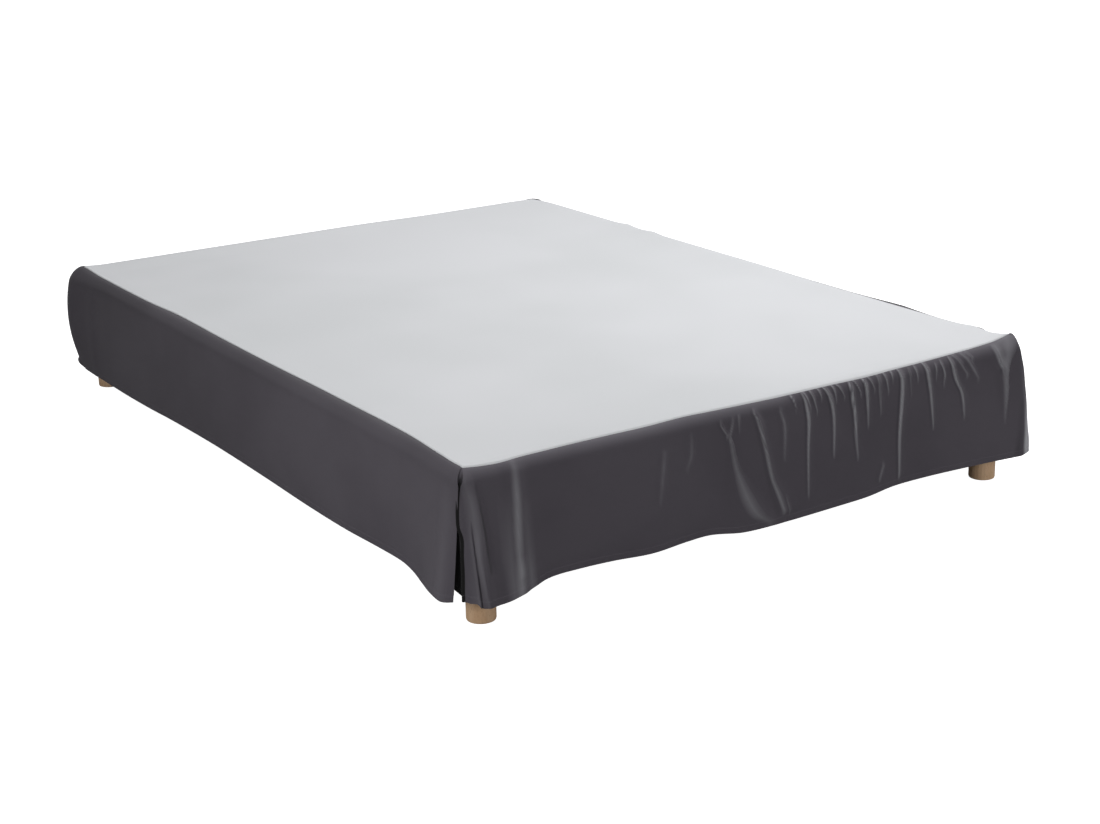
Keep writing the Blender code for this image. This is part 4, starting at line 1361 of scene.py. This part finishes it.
# ---------------------------------------------------------------- the platform sheet
@dataclass
class PlatformSheet:
    """The pale sheet on the base: it rolls over the edges, and is tucked under the drops at its seams."""

    sheet: Sheet
    foot: DropCloth
    head: DropCloth
    left: DropCloth
    right: DropCloth
    column: float = 0.018

    # distances inside the seam of the rows of points beside it
    EDGE = (
        -0.0040, -0.0020, -0.0004, 0.0006, 0.0016, 0.0026, 0.0038, 0.0052, 0.0070,
        0.0095, 0.0130, 0.018, 0.024, 0.032, 0.042, 0.055, 0.070, 0.087,
    )
    SEAMS_IN = 0.04  # how much narrower than the bed the sheet is, seam to seam
    SETTLINGS = 3  # rounds in which its lines follow the seams
    TUCK = 0.0022  # how far it goes down under the drops
    TUCK_EDGE = (0.0016, -0.0004)  # where it goes down, from the seam inwards
    LIP = 0.0010  # the rolled edge of the sheet beside the seam
    LIP_AT = 0.0034
    LIP_REACH = 0.0030
    UNEVEN = 0.0004  # broad, faint waves, and where they start inside the seam
    UNEVEN_EDGE = (0.02, 0.12)
    LEAST_PAST = 1e-9

    def lines(self, width: float) -> tuple[np.ndarray, np.ndarray]:
        """Where the grid's lines cross one width.

        Args:
            width: from seam to seam.

        Returns:
            Shares of the way across, and distances inside the nearer seam.
        """
        edge = np.array(self.EDGE)
        steps = math.ceil((width - 2 * edge[-1]) / self.column)
        middle = np.linspace(edge[-1], width - edge[-1], steps + 1)[1:-1]
        places = np.concatenate([edge, middle, width - edge[::-1]])
        return places / width, np.minimum(places, width - places)

    def plan(self) -> tuple[np.ndarray, np.ndarray, np.ndarray]:
        """Sets out the grid, seen from above.

        Returns:
            Places across the bed and along it, rows by columns, and their distances inside the seams.
        """
        across, side_in = self.lines(2 * COVER.half_width - self.SEAMS_IN)
        along, end_in = self.lines(2 * COVER.half_length - self.SEAMS_IN)
        across, along = np.meshgrid(across, along)
        x, y = COVER.half_width * (2 * across - 1), COVER.half_length * (2 * along - 1)
        for _ in range(self.SETTLINGS):
            low = self.left.value("seam_in", y) - COVER.half_width
            high = COVER.half_width - self.right.value("seam_in", y)
            x = low + (high - low) * across
            low = self.foot.value("seam_in", x) - COVER.half_length
            high = COVER.half_length - self.head.value("seam_in", x)
            y = low + (high - low) * along
        x, y = self.rounded(x, y)
        return x, y, np.minimum(side_in[None, :], end_in[:, None])

    def rounded(self, x: np.ndarray, y: np.ndarray) -> tuple[np.ndarray, np.ndarray]:
        """Rounds the two head corners.

        Args:
            x: places across the bed, from its middle.
            y: places along it.

        Returns:
            The same places, with those past the two head corners drawn in.
        """
        past_x = np.clip(np.abs(x) - COVER.half_width + COVER.head_corner, self.LEAST_PAST, None)
        past_y = np.clip(y - COVER.half_length + COVER.head_corner, self.LEAST_PAST, None)
        pull = np.maximum(past_x, past_y) / np.hypot(past_x, past_y) - 1
        return x + np.sign(x) * past_x * pull, y + past_y * pull

    def height(self, x: np.ndarray, y: np.ndarray) -> np.ndarray:
        """How high the sheet is: it rolls over the edges and settles flat inside them.

        Args:
            x: places across the bed, from its middle.
            y: places along it.

        Returns:
            Its heights above the floor.
        """
        side_in, end_in = COVER.half_width - np.abs(x), COVER.half_length - np.abs(y)
        fall = np.hypot(*(COVER.over_edge(COVER.reach_of(inset))[1] for inset in (side_in, end_in)))
        past_x, past_y = COVER.head_corner - side_in, COVER.head_corner - end_in
        round_in = COVER.head_corner - np.hypot(past_x, past_y)
        corner = (past_x > 0) & (past_y > 0) & (y > 0)
        fall = np.where(corner, COVER.over_edge(COVER.reach_of(round_in))[1], fall)
        settle = step(COVER.shoulder, COVER.panel_flat_from, np.minimum(side_in, end_in))
        flat = COVER.rim_height - (COVER.rim_height - COVER.panel_top) * settle
        return flat - fall + COVER.peak_height(x, y)

    def waves(self, x: np.ndarray, y: np.ndarray) -> np.ndarray:
        """Broad, crossing waves of the sheet, from -1 to 1."""
        return np.sin(x * 9.1 + 1.3 * np.sin(y * 3.7)) * np.sin(y * 6.3 + 0.9)

    def build(self, material: bpy.types.Material) -> bpy.types.Object:
        """Builds and dresses the sheet.

        Args:
            material: its finish.

        Returns:
            The sheet's object.
        """
        x, y, inside = self.plan()
        z = self.height(x, y)
        z -= self.TUCK * step(*self.TUCK_EDGE, inside)
        z += self.LIP * np.clip(1 - np.abs(inside - self.LIP_AT) / self.LIP_REACH, 0, 1)
        z += self.UNEVEN * self.waves(x, y) * step(*self.UNEVEN_EDGE, inside)
        points, uvs = np.stack([x, y, z], axis=-1), np.stack([x, y], axis=-1)
        piece = self.sheet.build(Weave(points, uvs, np.zeros(z.shape)))
        self.sheet.dress(piece, material)
        return piece


# ---------------------------------------------------------------- the base and its feet
@dataclass
class DivanBase:
    """The covered base and its four turned feet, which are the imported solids."""

    feet: tuple[str, ...] = ("leg_foot_left", "leg_foot_right", "leg_head_left", "leg_head_right")
    ticking: TickingFinish = field(default_factory=TickingFinish)
    wood: BeechFinish = field(default_factory=BeechFinish)

    def dress(self, nodes: dict[str, bpy.types.Object]) -> None:
        """Gives the solids their finishes.

        Args:
            nodes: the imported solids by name.
        """
        wood = self.wood.material()
        for name, material in [(BASE, self.ticking.material()), *((foot, wood) for foot in self.feet)]:
            for slot in nodes[name].material_slots:
                slot.material = material
            LOG.info("%s: %s", name, material.name)


# ---------------------------------------------------------------- the skirt
@dataclass
class Skirt:
    """The platform sheet and its four drops."""

    cloth: SkirtFinish = field(default_factory=SkirtFinish)
    platform: PlatformFinish = field(default_factory=PlatformFinish)

    def foot_drop(self) -> DropCloth:
        """The gathered drop at the foot of the bed.

        Returns:
            The drop, ready to build.
        """
        return DropCloth(
            sheet=skirt_sheet("skirt_foot", "drop_foot", Hold.GATHERED, (1.60, 0.285)),
            side=Side((0, -COVER.half_length), (1, 0), (0, -1), COVER.half_width),
            sections=FOOT_SECTIONS,
            creases=FOOT_CREASES,
            leans=FOOT_LEANS,
            first_tip=LEFT_SECTIONS[0].seam_in - COVER.half_width,
            last_tip=COVER.half_width - RIGHT_SECTIONS[0].seam_in,
            column=0.003,
            fine=((-0.700, -0.640, 0.0013), (-0.120, 0.720, 0.0016)),
            turned_back=True,
            spreads=(
                (0.060, 0.0060), (0.085, 0.0105), (0.115, 0.0125), (0.174, 0.0160), (0.205, 0.0150),
                (0.241, 0.0140), (0.268, 0.0098), (0.2885, 0.0060), (0.300, 0.0040), (0.309, 0.0010),
                (0.325, 0.0),
            ),
            first_spreads=(
                (0.060, 0.0088), (0.086, 0.0070), (0.120, 0.0045), (0.153, 0.0035), (0.178, 0.0015),
                (0.190, 0.0030), (0.205, 0.0075), (0.225, 0.0080), (0.250, 0.0060), (0.270, 0.0035),
                (0.290, 0.0), (0.325, 0.0),
            ),
            # painted highlight under the seam, and painted shade where below 0
            rubbed_seam=(
                (-0.700, 0.10), (-0.560, 0.16), (-0.300, 0.30), (0.040, 0.20), (0.100, -0.12),
                (0.350, -0.06), (0.480, 0.02), (0.580, 0.22), (0.640, 0.32), (0.717, 0.42),
            ),
            round_end=0.0085,
            # painted highlight on the flare at the last end
            rubbed_end=1.0,
        )

    def head_drop(self) -> DropCloth:
        """The plain drop at the head.

        Returns:
            The drop, ready to build.
        """
        return DropCloth(
            sheet=skirt_sheet("skirt_head", "drop_head", Hold.HUNG, (1.39, 0.27)),
            side=Side((0, COVER.half_length), (1, 0), (0, 1), COVER.half_width, True, True),
            sections=HEAD_SECTIONS,
            creases=HEAD_CREASES,
            leans=HEAD_LEANS,
            first_tip=HEAD_SECTIONS[0].at,
            last_tip=HEAD_SECTIONS[-1].at,
        )

    def side_drop(self, hand: Hand) -> DropCloth:
        """The plain drop along one side.

        Args:
            hand: which side.

        Returns:
            The drop, ready to build.
        """
        left = hand is Hand.LEFT
        way = -1 if left else 1
        sections = LEFT_SECTIONS if left else RIGHT_SECTIONS
        beside = FOOT_SECTIONS[0 if left else -1]
        return DropCloth(
            sheet=skirt_sheet(f"skirt_{hand.value}", f"drop_{hand.value}", Hold.HUNG, (1.89, 0.28)),
            side=Side((way * COVER.half_width, 0), (0, 1), (way, 0), COVER.half_length, False, True),
            sections=sections,
            creases=LEFT_CREASES if left else RIGHT_CREASES,
            leans=LEFT_LEANS if left else RIGHT_LEANS,
            first_tip=COVER.tip_clear + beside.seam_in - COVER.half_length,
            last_tip=sections[-1].at,
            # a band of painted shade under the seam
            rubbed_seam=(
                (-0.950, -0.08), (-0.800, -0.30), (-0.550, -0.50), (0.0, -0.42), (0.450, -0.36),
                (0.950, -0.40),
            ),
            rubbed_reach=0.056,
        )

    def build(self) -> None:
        """Builds and dresses the whole skirt."""
        foot, head = self.foot_drop(), self.head_drop()
        left, right = (self.side_drop(hand) for hand in Hand)
        woven = self.cloth.material()
        for drop in (foot, head, left, right):
            drop.build(woven)
        flat, thickness = (1.37, 1.87), COVER.platform_cloth
        sheet = Sheet("platform_sheet", "deck_panel", Slot.PLATFORM, Hold.LAID, flat, thickness)
        PlatformSheet(sheet, foot, head, left, right).build(self.platform.material())


# ---------------------------------------------------------------- the studio
@dataclass
class Lamp:
    """A soft square light that looks at the middle of the bed."""

    name: str
    place: tuple[float, float, float]
    size: float
    power: float  # watts

    AIM = (0.0, 0.0, 0.15)

    def build(self) -> None:
        """Adds the light."""
        data = bpy.data.lights.new(self.name, "AREA")
        data.shape, data.size, data.energy = "SQUARE", self.size, self.power
        light = bpy.data.objects.new(self.name, data)
        light.location = self.place
        aim = Vector(self.AIM) - Vector(self.place)
        light.rotation_euler = aim.to_track_quat("-Z", "Y").to_euler()
        bpy.context.scene.collection.objects.link(light)


@dataclass
class Studio:
    """A plain white floor, soft light and the camera of the photograph."""

    stand: tuple[float, float, float] = (-2.358, -3.788, 1.488)
    yaw: float = 33.16  # degrees from +Y towards +X
    pitch: float = 18.05  # degrees down
    roll: float = -1.23
    lens: float = 64.43
    sensor: float = 36.0
    floor_size: float = 60.0
    backdrop_radius: float = 29.0
    backdrop_detail: int = 4
    ground_drop: float = 0.003  # the dim ground under the white floor
    white: StudioFinish = StudioFinish("studio_white", (0.5, 0.5, 0.5), 1.0)
    dim: StudioFinish = StudioFinish("studio_dim", (0.3, 0.3, 0.3), 0.0)
    sky: Colour = (1.0, 1.0, 1.0)
    sky_strength: float = 0.34
    lamps: tuple[Lamp, ...] = (
        Lamp("left_light", (-2.2, -0.9, 0.6), 0.6, 10.0),
        Lamp("front_light", (0.6, -4.2, 1.4), 1.0, 27.0),
        Lamp("right_light", (3.0, -0.4, 2.0), 1.2, 32.0),
        Lamp("rear_light", (2.4, 1.8, 2.6), 1.5, 28.0),
        Lamp("overhead_light", (0.3, -0.4, 3.2), 1.0, 46.0),
    )

    def build(self) -> None:
        """Builds the camera, the floor with its backdrop, the lights and the sky."""
        self.camera()
        self.surroundings()
        for lamp in self.lamps:
            lamp.build()
        world = bpy.data.worlds.new("studio_sky")
        bpy.context.scene.world = world
        world.use_nodes = True
        background = world.node_tree.nodes["Background"]
        background.inputs["Color"].default_value = (*self.sky, 1.0)
        background.inputs["Strength"].default_value = self.sky_strength
        bpy.context.scene.view_settings.view_transform = "Standard"

    def camera(self) -> None:
        """Sets the camera where the photograph was taken from."""
        yaw, pitch, roll = (math.radians(angle) for angle in (self.yaw, self.pitch, self.roll))
        ahead = Vector((math.sin(yaw) * math.cos(pitch), math.cos(yaw) * math.cos(pitch), -math.sin(pitch)))
        level = Vector((math.cos(yaw), -math.sin(yaw), 0))
        over = level.cross(ahead)
        right = level * math.cos(roll) + over * math.sin(roll)
        up = over * math.cos(roll) - level * math.sin(roll)
        data = bpy.data.cameras.new("photo_camera")
        data.lens, data.sensor_width, data.sensor_fit = self.lens, self.sensor, "HORIZONTAL"
        camera = bpy.data.objects.new("photo_camera", data)
        camera.matrix_world = Matrix((right, up, -ahead)).transposed().to_4x4()
        camera.location = self.stand
        bpy.context.scene.collection.objects.link(camera)
        bpy.context.scene.camera = camera

    def surroundings(self) -> None:
        """Sets up the white floor and backdrop that the camera sees, and the dim ground for the light."""
        half = self.floor_size / 2
        floor, ground, backdrop = bmesh.new(), bmesh.new(), bmesh.new()
        bmesh.ops.create_grid(floor, x_segments=1, y_segments=1, size=half)
        bmesh.ops.create_grid(ground, x_segments=1, y_segments=1, size=half)
        bmesh.ops.translate(ground, verts=ground.verts, vec=(0, 0, -self.ground_drop))
        bmesh.ops.create_icosphere(backdrop, subdivisions=self.backdrop_detail, radius=self.backdrop_radius)
        bmesh.ops.reverse_faces(backdrop, faces=backdrop.faces)
        for name, mesh in (("studio_floor", floor), ("studio_backdrop", backdrop)):
            seen = self.stage(name, mesh, self.white)
            seen.visible_diffuse = seen.visible_glossy = seen.visible_shadow = False
        self.stage("studio_ground", ground, self.dim).visible_camera = False

    def stage(self, name: str, mesh: bmesh.types.BMesh, finish: StudioFinish) -> bpy.types.Object:
        """Makes a piece of the studio.

        Args:
            name: its name.
            mesh: its shape, which is used up.
            finish: its finish.

        Returns:
            The piece's object.
        """
        data = bpy.data.meshes.new(name)
        mesh.to_mesh(data)
        mesh.free()
        data.materials.append(finish.material())
        piece = bpy.data.objects.new(name, data)
        bpy.context.scene.collection.objects.link(piece)
        return piece


def main() -> None:
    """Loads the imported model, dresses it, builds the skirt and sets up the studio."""
    logging.basicConfig(level=logging.INFO, format="%(name)s %(message)s")
    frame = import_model()
    DivanBase().dress(frame["nodes"])
    Skirt().build()
    Studio().build()


if __name__ == "__main__":
    main()
